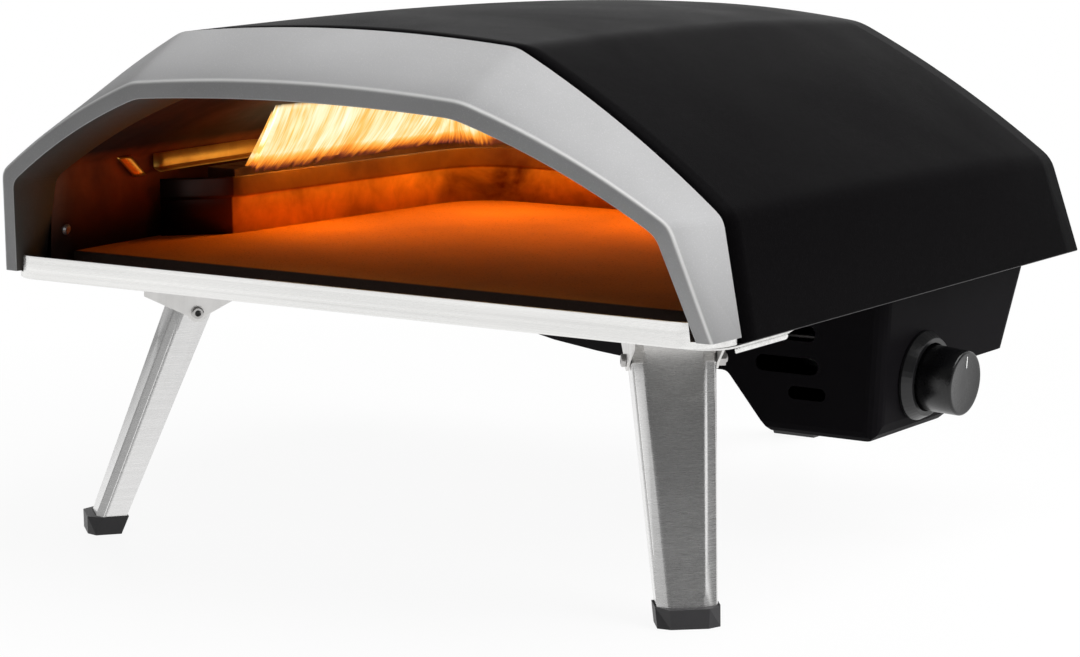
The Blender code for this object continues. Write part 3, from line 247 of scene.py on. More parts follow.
def path_frame(path: Array) -> tuple[Array, Array]:
    """Directions and distances along a level path.

    Args:
        path: Array (n, 2).

    Returns:
        The direction to the right of each point, and its metres along.
    """
    ahead = np.gradient(path, axis=0)
    ahead /= np.linalg.norm(ahead, axis=1, keepdims=True)
    along = np.concatenate([[0], np.cumsum(np.linalg.norm(np.diff(path, axis=0), axis=1))])
    return np.stack([ahead[:, 1], -ahead[:, 0]], -1), along


def thicken(piece: bpy.types.Object, wall: float) -> None:
    """Give a sheet its wall, inwards from its outer face.

    Args:
        piece: The sheet.
        wall: Its thickness in metres.
    """
    step = piece.modifiers.new("wall", "SOLIDIFY")
    step.thickness = wall
    step.offset = -1
    step.use_even_offset = True


def soften(piece: bpy.types.Object, width: float, weld: bool = False) -> None:
    """Round a piece's sharp edges.

    Args:
        piece: The piece.
        width: The bevel's width in metres.
        weld: Join loose triangles first, as on a CAD node.
    """
    if weld:
        piece.modifiers.new("weld", "WELD").merge_threshold = WELD_REACH
    step = piece.modifiers.new("edges", "BEVEL")
    step.width = width
    step.segments = 2
    step.limit_method = "ANGLE"
    step.angle_limit = math.radians(35.0)
    step.miter_outer = "MITER_ARC"
    piece.modifiers.new("normals", "WEIGHTED_NORMAL").keep_sharp = True


# Node trees and shared effects


class Tree:
    """A node tree that is built by naming what feeds each input."""

    def __init__(self, tree: bpy.types.NodeTree) -> None:
        """Start on an empty or new tree."""
        self.tree = tree

    def feed(self, socket: Socket, value: object) -> None:
        """Give an input its value.

        Args:
            socket: The input.
            value: A plain value, or an output to link.
        """
        if isinstance(value, Socket):
            self.tree.links.new(value, socket)
        else:
            socket.default_value = value

    def add(self, kind: str, feeds: Optional[dict] = None, **settings: object) -> bpy.types.Node:
        """Add a node.

        Args:
            kind: The node's type name.
            feeds: Input name or number to a value or an output.
            settings: The node's own settings.

        Returns:
            The node.
        """
        node = self.tree.nodes.new(kind)
        for key, value in settings.items():
            setattr(node, key, value)
        for key, value in (feeds or {}).items():
            self.feed(node.inputs[key], value)
        return node

    def math(self, operation: str, *values: object) -> Socket:
        """Add a Math node and give its result."""
        return self.add("ShaderNodeMath", dict(enumerate(values)), operation=operation).outputs[0]

    def dot(self, vector: Socket, direction: Point) -> Socket:
        """How far a vector goes along a direction."""
        node = self.add("ShaderNodeVectorMath", {0: vector, 1: direction}, operation="DOT_PRODUCT")
        return node.outputs["Value"]

    def split(self, vector: Socket) -> Sockets:
        """A vector's x, y and z."""
        return self.add("ShaderNodeSeparateXYZ", {0: vector}).outputs

    def noise(self, vector: Socket, scale: object, detail: float, **more: float) -> Socket:
        """Add a noise and give its value."""
        feeds = {"Vector": vector, "Scale": scale, "Detail": detail, **more}
        return self.add("ShaderNodeTexNoise", feeds).outputs[0]

    def spread(self, value: Socket, low: float, high: float, to_low: float, to_high: float) -> Socket:
        """Map a range of a value onto another range, held at its ends."""
        feeds = {0: value, 1: low, 2: high, 3: to_low, 4: to_high}
        return self.add("ShaderNodeMapRange", feeds).outputs[0]

    def mix(self, share: Socket, first: object, second: object) -> Socket:
        """Mix two colours, each an output or three numbers, by a share."""
        pair = [(*colour, 1.0) if isinstance(colour, tuple) else colour for colour in (first, second)]
        return self.add("ShaderNodeMix", {0: share, 6: pair[0], 7: pair[1]}, data_type="RGBA").outputs[2]

    def ramp(self, factor: Socket, stops: Sequence[tuple[float, Colour]]) -> Socket:
        """Add a colour ramp.

        Args:
            factor: What drives it.
            stops: (position, colour) pairs in rising order.

        Returns:
            Its colour output.
        """
        node = self.add("ShaderNodeValToRGB", {0: factor})
        line = node.color_ramp.elements
        while len(line) < len(stops):
            line.new(0.5)
        for element, (position, colour) in zip(line, stops):
            element.position = position
            element.color = (*colour, 1.0)
        return node.outputs[0]


def new_group(name: str, inputs: dict[str, Optional[float]],
              outputs: Sequence[str]) -> tuple[Tree, Sockets, Sockets]:
    """Make a shader node group with named sockets.

    Args:
        name: The group's name.
        inputs: Each input's name and default; one without a default is a vector.
        outputs: The names of the masks and heights that it puts out.

    Returns:
        Its tree, the sockets that its inputs give and the sockets that its outputs take.
    """
    group = bpy.data.node_groups.new(name, "ShaderNodeTree")
    for label, default in inputs.items():
        kind = "NodeSocketVector" if default is None else "NodeSocketFloat"
        socket = group.interface.new_socket(label, in_out="INPUT", socket_type=kind)
        if default is not None:
            socket.default_value = default
    for label in outputs:
        group.interface.new_socket(label, in_out="OUTPUT", socket_type="NodeSocketFloat")
    given, taken = group.nodes.new("NodeGroupInput"), group.nodes.new("NodeGroupOutput")
    return Tree(group), given.outputs, taken.inputs


class Effects:
    """The shared effects, each a node group that is built once."""

    WAVE_SCALE: float = 0.12
    WAVE_SHARE: float = 0.5
    SPECK_RANGE: tuple[float, float] = (0.56, 0.72)
    BAND_SCALE: float = 0.11
    PATCH_RANGE: tuple[float, float] = (0.32, 0.68)
    PIT_RANGE: tuple[float, float] = (0.10, 0.26)

    def __init__(self) -> None:
        """Build every group."""
        self.peel = self._peel()
        self.brush = self._brush()
        self.mottle = self._mottle()
        self.pores = self._pores()

    def _peel(self) -> bpy.types.NodeTree:
        """Powder coat: fine beads on soft waves.

        Returns:
            A group that gives a height and a mask of specks.
        """
        tree, (vector, scale, *_), (height, speck, *_) = new_group(
            "powder_peel", {"Vector": None, "Scale": 900.0}, ("Height", "Speck"))
        fine = tree.noise(vector, scale, 2.0, Roughness=0.6)
        wide = tree.noise(vector, tree.math("MULTIPLY", scale, self.WAVE_SCALE), 2.0)
        tree.feed(height, tree.math("MULTIPLY_ADD", wide, self.WAVE_SHARE, fine))
        tree.feed(speck, tree.spread(fine, *self.SPECK_RANGE, 0.0, 1.0))
        return tree.tree

    def _brush(self) -> bpy.types.NodeTree:
        """Brushed steel: long thin noise along the axis that the stretch leaves short.

        Returns:
            A group that gives fine streaks and broad bands.
        """
        tree, (vector, stretch, *_), (streak, band, *_) = new_group(
            "brushed_grain", {"Vector": None, "Stretch": None}, ("Streak", "Band"))
        node = tree.add("ShaderNodeVectorMath", {0: vector, 1: stretch}, operation="MULTIPLY")
        placed = node.outputs[0]
        tree.feed(streak, tree.noise(placed, 1.0, 4.0, Roughness=0.7))
        tree.feed(band, tree.noise(placed, self.BAND_SCALE, 2.0))
        return tree.tree

    def _mottle(self) -> bpy.types.NodeTree:
        """Broad uneven patches.

        Returns:
            A group that gives a mask from 0 to 1.
        """
        tree, (vector, scale, *_), (patch, *_) = new_group(
            "uneven_patches", {"Vector": None, "Scale": 12.0}, ("Patch",))
        noise = tree.noise(vector, scale, 5.0, Roughness=0.55, Distortion=0.4)
        tree.feed(patch, tree.spread(noise, *self.PATCH_RANGE, 0.0, 1.0))
        return tree.tree

    def _pores(self) -> bpy.types.NodeTree:
        """Small round pits between grains.

        Returns:
            A group that gives a mask that is 1 in a pit.
        """
        tree, (vector, scale, *_), (pit, *_) = new_group(
            "stone_pores", {"Vector": None, "Scale": 260.0}, ("Pit",))
        cells = tree.add("ShaderNodeTexVoronoi", {"Vector": vector, "Scale": scale}).outputs[0]
        tree.feed(pit, tree.spread(cells, *self.PIT_RANGE, 1.0, 0.0))
        return tree.tree


class Coating(Tree):
    """A material in the making: its shader, its Object coordinates and the shared effects."""

    def __init__(self, name: str, effects: Effects) -> None:
        """Open a new material.

        Args:
            name: Its name.
            effects: The shared node groups.
        """
        self.material = bpy.data.materials.new(name)
        self.material.use_nodes = True
        super().__init__(self.material.node_tree)
        self.effects = effects
        self.shader = self.tree.nodes["Principled BSDF"]
        self.place = self.add("ShaderNodeTexCoord").outputs["Object"]

    def paint(self, feeds: dict[str, object]) -> None:
        """Feed the shader's inputs by name."""
        for key, value in feeds.items():
            self.feed(self.shader.inputs[key], value)

    def effect(self, group: bpy.types.NodeTree, **values: object) -> Sockets:
        """Place a shared effect on the Object coordinates and give its outputs."""
        return self.add("ShaderNodeGroup", {"Vector": self.place, **values}, node_tree=group).outputs

    def patches(self, scale: float) -> Socket:
        """Broad uneven patches, as a mask from 0 to 1."""
        return self.effect(self.effects.mottle, Scale=scale)[0]

    def bump(self, height: Socket, depth: float) -> None:
        """Raise the surface by a height, in units of depth metres."""
        node = self.add("ShaderNodeBump", {"Height": height, "Distance": depth, "Strength": 1.0})
        self.paint({"Normal": node.outputs[0]})


# Finishes


def shades(colour: Colour, *factors: float) -> list[Colour]:
    """Lighter and darker shades of a colour, one for each factor."""
    return [tuple(min(1.0, part * factor) for part in colour) for factor in factors]


@dataclass(frozen=True)
class Finish:
    """A surface finish: its name and the plain numbers of its Principled shader."""

    name: str
    colour: Colour = (0.5, 0.5, 0.5)
    roughness: float = 0.5
    metallic: float = 0.0

    def build(self, effects: Effects) -> bpy.types.Material:
        """Make the material.

        Args:
            effects: The shared node groups.

        Returns:
            The material, with the finish's own detail.
        """
        coat = Coating(self.name, effects)
        coat.paint({"Base Color": (*self.colour, 1.0), "Roughness": self.roughness,
                    "Metallic": self.metallic})
        self.dress(coat)
        return coat.material

    def dress(self, coat: Coating) -> None:
        """Add the finish's own detail to the material in the making; each kind has its own."""
        raise NotImplementedError


@dataclass(frozen=True)
class PowderCoat(Finish):
    """Baked powder paint: beaded, with fine specks and soft patches of gloss."""

    scale: float = 900.0
    speck: float = 1.25
    depth: float = 0.00012
    specular: float = 0.5
    # Painted highlight along the bottom hem: the height below which it shows, its fade and its lighter
    # grey.
    rim_highlight_z: float = -1.0
    rim_highlight_fade: float = 0.0002
    rim_highlight: Colour = (0.085, 0.083, 0.085)
    # Painted highlight along folds: its strength and the near-white colour that it lightens to.
    fold_highlight: float = 0.0
    fold_highlight_colour: Colour = (0.95, 0.95, 0.94)
    patch_scale: float = 9.0
    patch_tints: tuple[float, float] = (0.93, 1.06)
    patch_rough: tuple[float, float] = (-0.04, 0.05)
    speck_share: float = 0.55
    speck_rough: float = -0.08

    def dress(self, coat: Coating) -> None:
        """Mix patches and specks into colour and roughness, paint a highlight along the hem and the folds
        where asked, and bead the surface.

        Args:
            coat: The material in the making.
        """
        peel = coat.effect(coat.effects.peel, Scale=self.scale)
        patch = coat.patches(self.patch_scale)
        dark, light, bright = shades(self.colour, *self.patch_tints, self.speck)
        specks = coat.math("MULTIPLY", peel["Speck"], self.speck_share)
        colour = coat.mix(specks, coat.mix(patch, dark, light), bright)
        # Painted highlight: below a height the black turns lighter grey, standing for the light rim along
        # the shell's bottom hem.
        if self.rim_highlight_z > 0:
            height = coat.split(coat.place)[2]
            edge = coat.spread(height, self.rim_highlight_z, self.rim_highlight_z + self.rim_highlight_fade, 1.0, 0.0)
            colour = coat.mix(edge, colour, self.rim_highlight)
        # Painted highlight: the fold rows are lightened towards near-white, standing for the light that
        # the rounded folds catch.
        if self.fold_highlight > 0:
            fold = coat.add("ShaderNodeAttribute", attribute_name=FOLD_HIGHLIGHT_MASK).outputs["Fac"]
            colour = coat.mix(coat.math("MULTIPLY", fold, self.fold_highlight), colour, self.fold_highlight_colour)
        low, high = (self.roughness + change for change in self.patch_rough)
        rough = coat.spread(patch, 0, 1, low, high)
        coat.paint({"Base Color": colour, "Specular IOR Level": self.specular,
                    "Roughness": coat.math("MULTIPLY_ADD", peel["Speck"], self.speck_rough, rough)})
        coat.bump(peel["Height"], self.depth)


@dataclass(frozen=True)
class BrushedSteel(Finish):
    """Stainless sheet with a fine directional grain and broad reflection bands."""

    metallic: float = 1.0
    stretch: Point = (20.0, 1800.0, 1800.0)
    uneven: float = 0.10
    anisotropy: float = 0.5
    turn: float = 0.0
    grain: float = 0.00003
    # How much of the colour faces that point down keep; below 1 it is painted shade.
    underside_shade: float = 1.0
    darker: float = 1.6
    lighter: float = 0.6
    band_share: float = 0.6
    band_range: tuple[float, float] = (0.35, 0.65)
    down_range: tuple[float, float] = (-0.9, -0.6)
    streak_range: tuple[float, float] = (0.3, 0.7)
    streak_rough: float = 0.07
    patch_scale: float = 7.0
    patch_rough: float = 0.06

    def dress(self, coat: Coating) -> None:
        """Streak the colour, the roughness and the normal along the grain, and darken faces that point
        down as painted shade where asked.

        Args:
            coat: The material in the making.
        """
        grain = coat.effect(coat.effects.brush, Stretch=self.stretch)
        patch = coat.patches(self.patch_scale)
        low, high = shades(self.colour, 1 - self.darker * self.uneven, 1 + self.lighter * self.uneven)
        streak = coat.math("MULTIPLY_ADD", grain["Band"], self.band_share,
                           coat.math("MULTIPLY", grain["Streak"], 1 - self.band_share))
        colour = coat.mix(coat.spread(streak, *self.band_range, 0.0, 1.0), low, high)
        # Painted shade: faces that point down are darkened, standing for the shade under the tray and the
        # lip.
        if self.underside_shade < 1:
            facing = coat.split(coat.add("ShaderNodeNewGeometry").outputs["Normal"])[2]
            underside_shade_colour, = shades(self.colour, self.underside_shade)
            colour = coat.mix(coat.spread(facing, *self.down_range, 1.0, 0.0), colour, underside_shade_colour)
        rough = coat.spread(grain["Streak"], *self.streak_range, self.roughness - self.streak_rough,
                            self.roughness + self.streak_rough)
        coat.paint({"Base Color": colour,
                    "Roughness": coat.math("MULTIPLY_ADD", patch, self.patch_rough, rough),
                    "Anisotropic": self.anisotropy, "Anisotropic Rotation": self.turn})
        coat.bump(grain["Streak"], self.grain)


@dataclass(frozen=True)
class HeatedSteel(Finish):
    """Sheet steel tinted by heat, from straw through bronze to sooty brown."""

    metallic: float = 0.55
    # Dark colour for the sooty patches, and for the painted shade of the liner.
    soot_and_shade: Colour = (0.06, 0.022, 0.010)
    soot_scale: float = 9.0
    soot_share: float = 0.6
    soot_power: float = 1.6
    soot_rough: float = 0.25
    tint_scale: float = 60.0
    tints: tuple[float, float] = (0.82, 1.15)
    mark_stretch: Point = (30.0, 30.0, 900.0)
    mark_rough: float = 0.10
    mark_depth: float = 0.00006

    def blacken(self, coat: Coating, patch: Socket, colour: Socket) -> Socket:
        """Give the colour back as it is; the shaded liner and the guard with its darker band and nose
        change it.
        """
        return colour

    def dress(self, coat: Coating) -> None:
        """Blend tint and sooty patches, with faint rolling marks along x.

        Args:
            coat: The material in the making.
        """
        patch = coat.patches(self.soot_scale)
        fine = coat.patches(self.tint_scale)
        marks = coat.effect(coat.effects.brush, Stretch=self.mark_stretch)
        tinted = coat.mix(fine, *shades(self.colour, *self.tints))
        share = coat.math("MULTIPLY", coat.math("POWER", patch, self.soot_power), self.soot_share)
        rough = coat.spread(patch, 0, 1, self.roughness, self.roughness + self.soot_rough)
        coat.paint({"Base Color": self.blacken(coat, patch, coat.mix(share, tinted, self.soot_and_shade)),
                    "Roughness": coat.math("MULTIPLY_ADD", marks["Streak"], self.mark_rough, rough)})
        coat.bump(marks["Streak"], self.mark_depth)


@dataclass(frozen=True)
class NoseShadedSteel(HeatedSteel):
    """Heated steel that is darker above a height, and whose front end is painted from black to brown short
    of a place along the oven's depth, as painted dark reflection.
    """

    band_z: float = 1.0
    band_fade: float = 0.0012
    band_darkening: float = 0.62
    # Painted dark reflection on the front end: its black and brown, the sharp edge, the ragged fade and
    # the depths where it fades and ends.
    black: Colour = (0.010, 0.006, 0.005)
    nose_brown: Colour = (0.075, 0.018, 0.008)
    edge: float = 0.0012
    ragged: float = 0.012
    nose_shade_y: float = 0.0
    unshaded_y: float = 0.0

    def blacken(self, coat: Coating, patch: Socket, colour: Socket) -> Socket:
        """Darken above a height, then paint the front end's dark reflection: fade from black to dark brown
        between two depths and turn sharply to the steel.

        Args:
            coat: The material in the making.
            patch: The mask of sooty patches, which makes the fade ragged.
            colour: The colour so far.

        Returns:
            The colour with its darker band and painted nose reflection.
        """
        _, depth, height = coat.split(coat.place)
        # Darker above a height, over the proud band.
        band = coat.spread(height, self.band_z - self.band_fade, self.band_z, 0.0, self.band_darkening)
        colour = coat.mix(band, colour, self.soot_and_shade)
        # Painted dark reflection: the front end is black, fading to brown, before the steel.
        fade = coat.math("MULTIPLY_ADD", patch, self.ragged, depth)
        share = coat.spread(fade, self.nose_shade_y, self.unshaded_y, 0.0, 1.0)
        nose_shade = coat.mix(share, self.black, self.nose_brown)
        unshaded = coat.spread(depth, self.unshaded_y, self.unshaded_y + self.edge, 0.0, 1.0)
        return coat.mix(unshaded, nose_shade, colour)


@dataclass(frozen=True)
class ShadedSteel(HeatedSteel):
    """Heated steel with painted shade: darker low down and on the roof, where the flames don't shine."""

    low_z: float = 0.0
    high_z: float = 1.0
    low_shade: float = 0.9
    ragged: float = 0.008
    roof_z: float = 1.0
    roof_fade: float = 0.006
    roof_shade: float = 0.80
    roof_patch: float = 0.7

    def blacken(self, coat: Coating, patch: Socket, colour: Socket) -> Socket:
        """Mix in the dark colour as painted shade below a height, less and less up to a second one, and
        again on the roof.

        Args:
            coat: The material in the making.
            patch: The mask of sooty patches.
            colour: The colour so far.

        Returns:
            The colour with its painted shade.
        """
        # Painted shade: the dark colour low down and on the roof, where the flames don't shine.
        height = coat.split(coat.place)[2]
        fade = coat.math("MULTIPLY_ADD", patch, self.ragged, height)
        low = coat.spread(fade, self.low_z, self.high_z, self.low_shade, 0.0)
        above = coat.spread(height, self.roof_z, self.roof_z + self.roof_fade, 0.0, 1.0)
        roof = coat.math("MULTIPLY", above, coat.spread(patch, 0.0, self.roof_patch, self.roof_shade, 1.0))
        return coat.mix(coat.math("MAXIMUM", low, roof), colour, self.soot_and_shade)


@dataclass(frozen=True)
class FiredStone(Finish):
    """Cordierite slab: sandy grains, open pores, toasted patches and a darker front edge; its orange is
    partly toasting and partly painted firelight.
    """

    toast: Colour = (0.20, 0.085, 0.035)
    front_y: float = 0.0
    # The darker front edge's colour and the reach of its fade.
    front_dark: Colour = (0.030, 0.012, 0.006)
    front_dark_reach: tuple[float, float] = (0.0005, 0.0040)
    patch_scale: float = 6.0
    grain_scale: float = 1400.0
    pore_scale: float = 300.0
    toast_share: float = 0.45
    salt_share: float = 0.35
    pore_share: float = 0.5
    salt: float = 1.5
    pore_tint: float = 0.6
    depth: float = 0.00025

    def dress(self, coat: Coating) -> None:
        """Toast broad patches, salt the grain, sink the pores and darken the front edge.

        Args:
            coat: The material in the making.
        """
        patch = coat.patches(self.patch_scale)
        grain = coat.effect(coat.effects.peel, Scale=self.grain_scale)
        pores = coat.effect(coat.effects.pores, Scale=self.pore_scale)[0]
        light, dark = shades(self.colour, self.salt) + shades(self.toast, self.pore_tint)
        base = coat.mix(coat.math("MULTIPLY", patch, self.toast_share), self.colour, self.toast)
        salted = coat.mix(coat.math("MULTIPLY", grain["Speck"], self.salt_share), base, light)
        pitted = coat.mix(coat.math("MULTIPLY", pores, self.pore_share), salted, dark)
        # Darken the front edge over a few millimetres.
        start, end = (self.front_y + reach for reach in self.front_dark_reach)
        front = coat.spread(coat.split(coat.place)[1], start, end, 1.0, 0.0)
        coat.paint({"Base Color": coat.mix(front, pitted, self.front_dark)})
        coat.bump(coat.math("SUBTRACT", grain["Height"], pores), self.depth)


@dataclass(frozen=True)
class Moulded(Finish):
    """Moulded plastic or rubber with a fine spark-eroded texture."""

    scale: float = 1500.0
    depth: float = 0.00005
    patch_scale: float = 14.0
    patch_tints: tuple[float, float] = (0.85, 1.2)
    patch_rough: tuple[float, float] = (-0.04, 0.06)
    speck_rough: float = -0.05

    def dress(self, coat: Coating) -> None:
        """Vary colour and roughness faintly, and texture the surface.

        Args:
            coat: The material in the making.
        """
        peel = coat.effect(coat.effects.peel, Scale=self.scale)
        patch = coat.patches(self.patch_scale)
        low, high = (self.roughness + change for change in self.patch_rough)
        rough = coat.spread(patch, 0, 1, low, high)
        coat.paint({"Base Color": coat.mix(patch, *shades(self.colour, *self.patch_tints)),
                    "Roughness": coat.math("MULTIPLY_ADD", peel["Speck"], self.speck_rough, rough)})
        coat.bump(peel["Height"], self.depth)


@dataclass(frozen=True)
class WoolBlanket(Finish):
    """Ceramic-fibre blanket: matted strands over soft lumps."""

    strands: tuple[Point, Point] = ((150.0, 1300.0, 900.0), (1300.0, 160.0, 900.0))
    lump_scale: float = 40.0
    lump_tints: tuple[float, float] = (0.8, 1.05)
    lump_share: float = 2.0
    depth: float = 0.0004

    def dress(self, coat: Coating) -> None:
        """Shade the lumps and raise crossed strands.

        Args:
            coat: The material in the making.
        """
        patch = coat.patches(self.lump_scale)
        first, second = (coat.effect(coat.effects.brush, Stretch=stretch)["Streak"]
                         for stretch in self.strands)
        coat.paint({"Base Color": coat.mix(patch, *shades(self.colour, *self.lump_tints))})
        matted = coat.math("MAXIMUM", first, second)
        coat.bump(coat.math("MULTIPLY_ADD", patch, self.lump_share, matted), self.depth)


@dataclass(frozen=True)
class Braid(Finish):
    """A woven metal sleeve: crossed strands with dark gaps between them."""

    pitch: float = 900.0
    tints: tuple[float, float] = (0.08, 1.6)
    gap: float = 0.5
    depth: float = 0.0002

    def dress(self, coat: Coating) -> None:
        """Cross two slanting waves into strands and gaps.

        Args:
            coat: The material in the making.
        """
        x, _, z = coat.split(coat.place)
        waves = [coat.math("SINE", coat.math("MULTIPLY", coat.math("MULTIPLY_ADD", z, sign, x),
                                             2 * math.pi * self.pitch)) for sign in (1.0, -1.0)]
        strand = coat.spread(coat.math("MULTIPLY", *waves), -self.gap, self.gap, 0.0, 1.0)
        coat.paint({"Base Color": coat.mix(strand, *shades(self.colour, *self.tints))})
        coat.bump(strand, self.depth)


@dataclass(frozen=True)
class Flame(Finish):
    """Burning gas: blue-violet roots, orange streaks and a pale yellow heart.

    The piece's UV map gives metres along the burner and the share of the height.
    """

    colour: Colour = (0.0, 0.0, 0.0)
    roughness: float = 1.0
    strength: float = 1.3
    density: float = 1.0
    seed: float = 0.0
    seed_step: float = 5.0
    slant: float = -0.012
    fine_stretch: tuple[float, float] = (330.0, 1.6)
    wide_stretch: tuple[float, float] = (42.0, 1.3)
    fine_share: float = 0.7
    wide_share: float = 0.55
    rise_share: float = 0.62
    coldest: float = -0.62
    rise_range: tuple[float, float] = (0.02, 0.34)
    body_range: tuple[float, float] = (0.02, 0.36)
    foot_range: tuple[float, float] = (0.0, 0.06)
    crown_range: tuple[float, float] = (0.92, 1.0)
    heat_stops: tuple[tuple[float, Colour], ...] = (
        (0.0, (0.03, 0.008, 0.03)), (0.16, (0.30, 0.055, 0.02)), (0.34, (0.85, 0.24, 0.02)),
        (0.52, (1.0, 0.50, 0.10)), (0.68, (1.0, 0.84, 0.50)), (0.84, (1.0, 0.96, 0.85)))

    def streaks(self, coat: Coating, along: Socket, up: Socket, stretch: tuple[float, float], seed: float,
                detail: float, **more: float) -> Socket:
        """Noise that is drawn out upwards.

        Args:
            coat: The material in the making.
            along: Metres along the burner.
            up: The share of the height.
            stretch: The noise's scale along and up.
            seed: Which noise it is.
            detail: How fine it is.
            more: The noise's other inputs.

        Returns:
            The noise's value.
        """
        place = coat.add("ShaderNodeCombineXYZ", {0: coat.math("MULTIPLY", along, stretch[0]),
                                                  1: coat.math("MULTIPLY", up, stretch[1]), 2: seed})
        return coat.noise(place.outputs[0], 1.0, detail, **more)

    def dress(self, coat: Coating) -> None:
        """Colour the flame by height and streak, and thin it at its roots, tips and ends.

        Args:
            coat: The material in the making.
        """
        along, up, _ = coat.split(coat.add("ShaderNodeTexCoord").outputs["UV"])
        slant = coat.math("MULTIPLY_ADD", up, self.slant, along)
        fine = self.streaks(coat, slant, up, self.fine_stretch, self.seed, 3.0, Roughness=0.6)
        wide = self.streaks(coat, slant, up, self.wide_stretch, self.seed + self.seed_step, 2.0)
        rise = coat.math("MULTIPLY", coat.spread(up, *self.rise_range, 0.0, 1.0), self.rise_share)
        streaked = coat.math("MULTIPLY_ADD", fine, self.fine_share, self.coldest)
        heat = coat.math("ADD", rise, coat.math("MULTIPLY_ADD", wide, self.wide_share, streaked))
        body = coat.spread(heat, *self.body_range, 0.0, 1.0)
        foot = coat.spread(up, *self.foot_range, 0.0, 1.0)
        crown = coat.spread(up, *self.crown_range, 1.0, 0.0)
        veil = coat.math("MULTIPLY", coat.math("MULTIPLY", body, foot), crown)
        coat.paint({"Emission Color": coat.ramp(heat, self.heat_stops), "Emission Strength": self.strength,
                    "Specular IOR Level": 0.0, "Alpha": coat.math("MULTIPLY", veil, self.density)})


class Finishes:
    """Every finish of the oven, built once."""

    def __init__(self, effects: Effects, site: Site) -> None:
        """Build the materials.

        Args:
            effects: The shared node groups.
            site: The oven's place, which puts the painted shade, the guard's darker band and painted nose
                reflection, and the painted hem highlight at their heights and depths.
        """
        self.effects = effects
        _, depth, foot = site.origin
        rows: dict[str, Finish] = {
            # The shell's bottom hem gets a lighter grey band as painted highlight.
            "shell": PowderCoat("black_powder_coat", (0.0021, 0.0019, 0.0022), 0.40, scale=1100.0,
                                speck=4.0, specular=0.009, rim_highlight_z=foot - 0.0040),
            # The fascia's folds carry a painted highlight.
            "fascia": PowderCoat("grey_powder_coat", (0.385, 0.384, 0.388), 0.40, scale=1300.0, speck=1.35,
                                 depth=0.00006, specular=0.08, fold_highlight=0.9),
            # The return is a darker copy of the fascia's grey: painted shade inside the mouth.
            "return": PowderCoat("return_shaded_coat", (0.075, 0.068, 0.062), 0.55, scale=1300.0, speck=1.35,
                                 depth=0.00006, specular=0.1),
            # The tray and the lip are darkened underneath as painted shade.
            "tray": BrushedSteel("tray_steel", (0.88, 0.875, 0.86), 0.30, underside_shade=0.18),
            "lip": BrushedSteel("lip_steel", (0.90, 0.895, 0.88), 0.22, stretch=(9.0, 1500.0, 1500.0),
                                uneven=0.12, underside_shade=0.18),
            "leg": BrushedSteel("leg_steel", (0.80, 0.795, 0.79), 0.22, stretch=(90.0, 90.0, 5200.0),
                                uneven=0.03, anisotropy=0.7, turn=0.25, grain=0.000004),
            "bracket": BrushedSteel("bracket_steel", (0.80, 0.79, 0.775), 0.34,
                                    stretch=(900.0, 900.0, 60.0), uneven=0.06),
            # The liner's orange-red is partly its heat tint and partly painted firelight; it is darker low
            # down and on the roof as painted shade.
            "liner": ShadedSteel("chamber_steel", (0.26, 0.054, 0.008), 0.52, 0.30,
                                 soot_and_shade=(0.016, 0.004, 0.002), soot_scale=11.0, soot_share=0.85,
                                 low_z=foot + 0.020, high_z=foot + 0.062, roof_z=foot + 0.0740),
            # The guard's golden orange is partly its heat tint and partly painted firelight; its front end
            # is painted black to brown as dark reflection.
            "guard": NoseShadedSteel("guard_steel", (0.74, 0.43, 0.10), 0.26, soot_and_shade=(0.09, 0.025, 0.005),
                                   soot_scale=13.0, soot_share=1.0, band_darkening=0.74, band_z=foot + 0.0376,
                                   nose_shade_y=depth + 0.132, unshaded_y=depth + 0.1625),
            "burner": HeatedSteel("burner_steel", (0.20, 0.10, 0.055), 0.45),
            # Saturated orange for the flame-lit strip and clip: the flames' reflected light, painted.
            "flame_lit": HeatedSteel("flame_lit_steel", (1.0, 0.48, 0.09), 0.22, 0.9, soot_share=0.1),
            # The stone's orange is partly toasting and partly painted firelight.
            "stone": FiredStone("baking_stone", (0.62, 0.210, 0.008), 0.86, toast=(0.25, 0.075, 0.004),
                                front_y=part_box("baking_stone")[0].y),
            "housing": PowderCoat("housing_coat", (0.0072, 0.0066, 0.0076), 0.42, scale=1500.0, speck=1.6,
                                  depth=0.00005, specular=0.012),
            "duct": PowderCoat("duct_coat", (0.030, 0.028, 0.030), 0.42, scale=1500.0, speck=1.6,
                               depth=0.00005, specular=0.02),
            "plastic": Moulded("knob_plastic", (0.0030, 0.0030, 0.0034), 0.25),
            "collar": Moulded("collar_plastic", (0.006, 0.006, 0.0065), 0.30),
            "rubber": Moulded("cap_rubber", (0.022, 0.021, 0.023), 0.50, scale=900.0, depth=0.00008),
            "screw": BrushedSteel("screw_steel", (0.55, 0.54, 0.53), 0.28, stretch=(500.0, 500.0, 500.0)),
            # Near-black for the discs of painted shade in the hinge sockets.
            "dark": Moulded("socket_shade", (0.012, 0.011, 0.011), 0.5),
            "brass": BrushedSteel("brass", (0.72, 0.50, 0.20), 0.30, stretch=(300.0, 900.0, 900.0)),
            "ceramic": Moulded("white_ceramic", (0.80, 0.78, 0.72), 0.30, scale=700.0),
            "wool": WoolBlanket("ceramic_wool", (0.80, 0.78, 0.74), 0.95),
            "braid": Braid("braided_sleeve", (0.16, 0.155, 0.15), 0.45, 0.6),
            "mark": Moulded("white_mark", (0.85, 0.85, 0.83), 0.45),
        }
        self.made = {key: finish.build(effects) for key, finish in rows.items()}

    def give(self, piece: bpy.types.Object, key: str) -> bpy.types.Object:
        """Put one finish on a whole piece.

        Args:
            piece: The piece.
            key: The finish's row.

        Returns:
            The piece.
        """
        piece.data.materials.clear()
        piece.data.materials.append(self.made[key])
        return piece


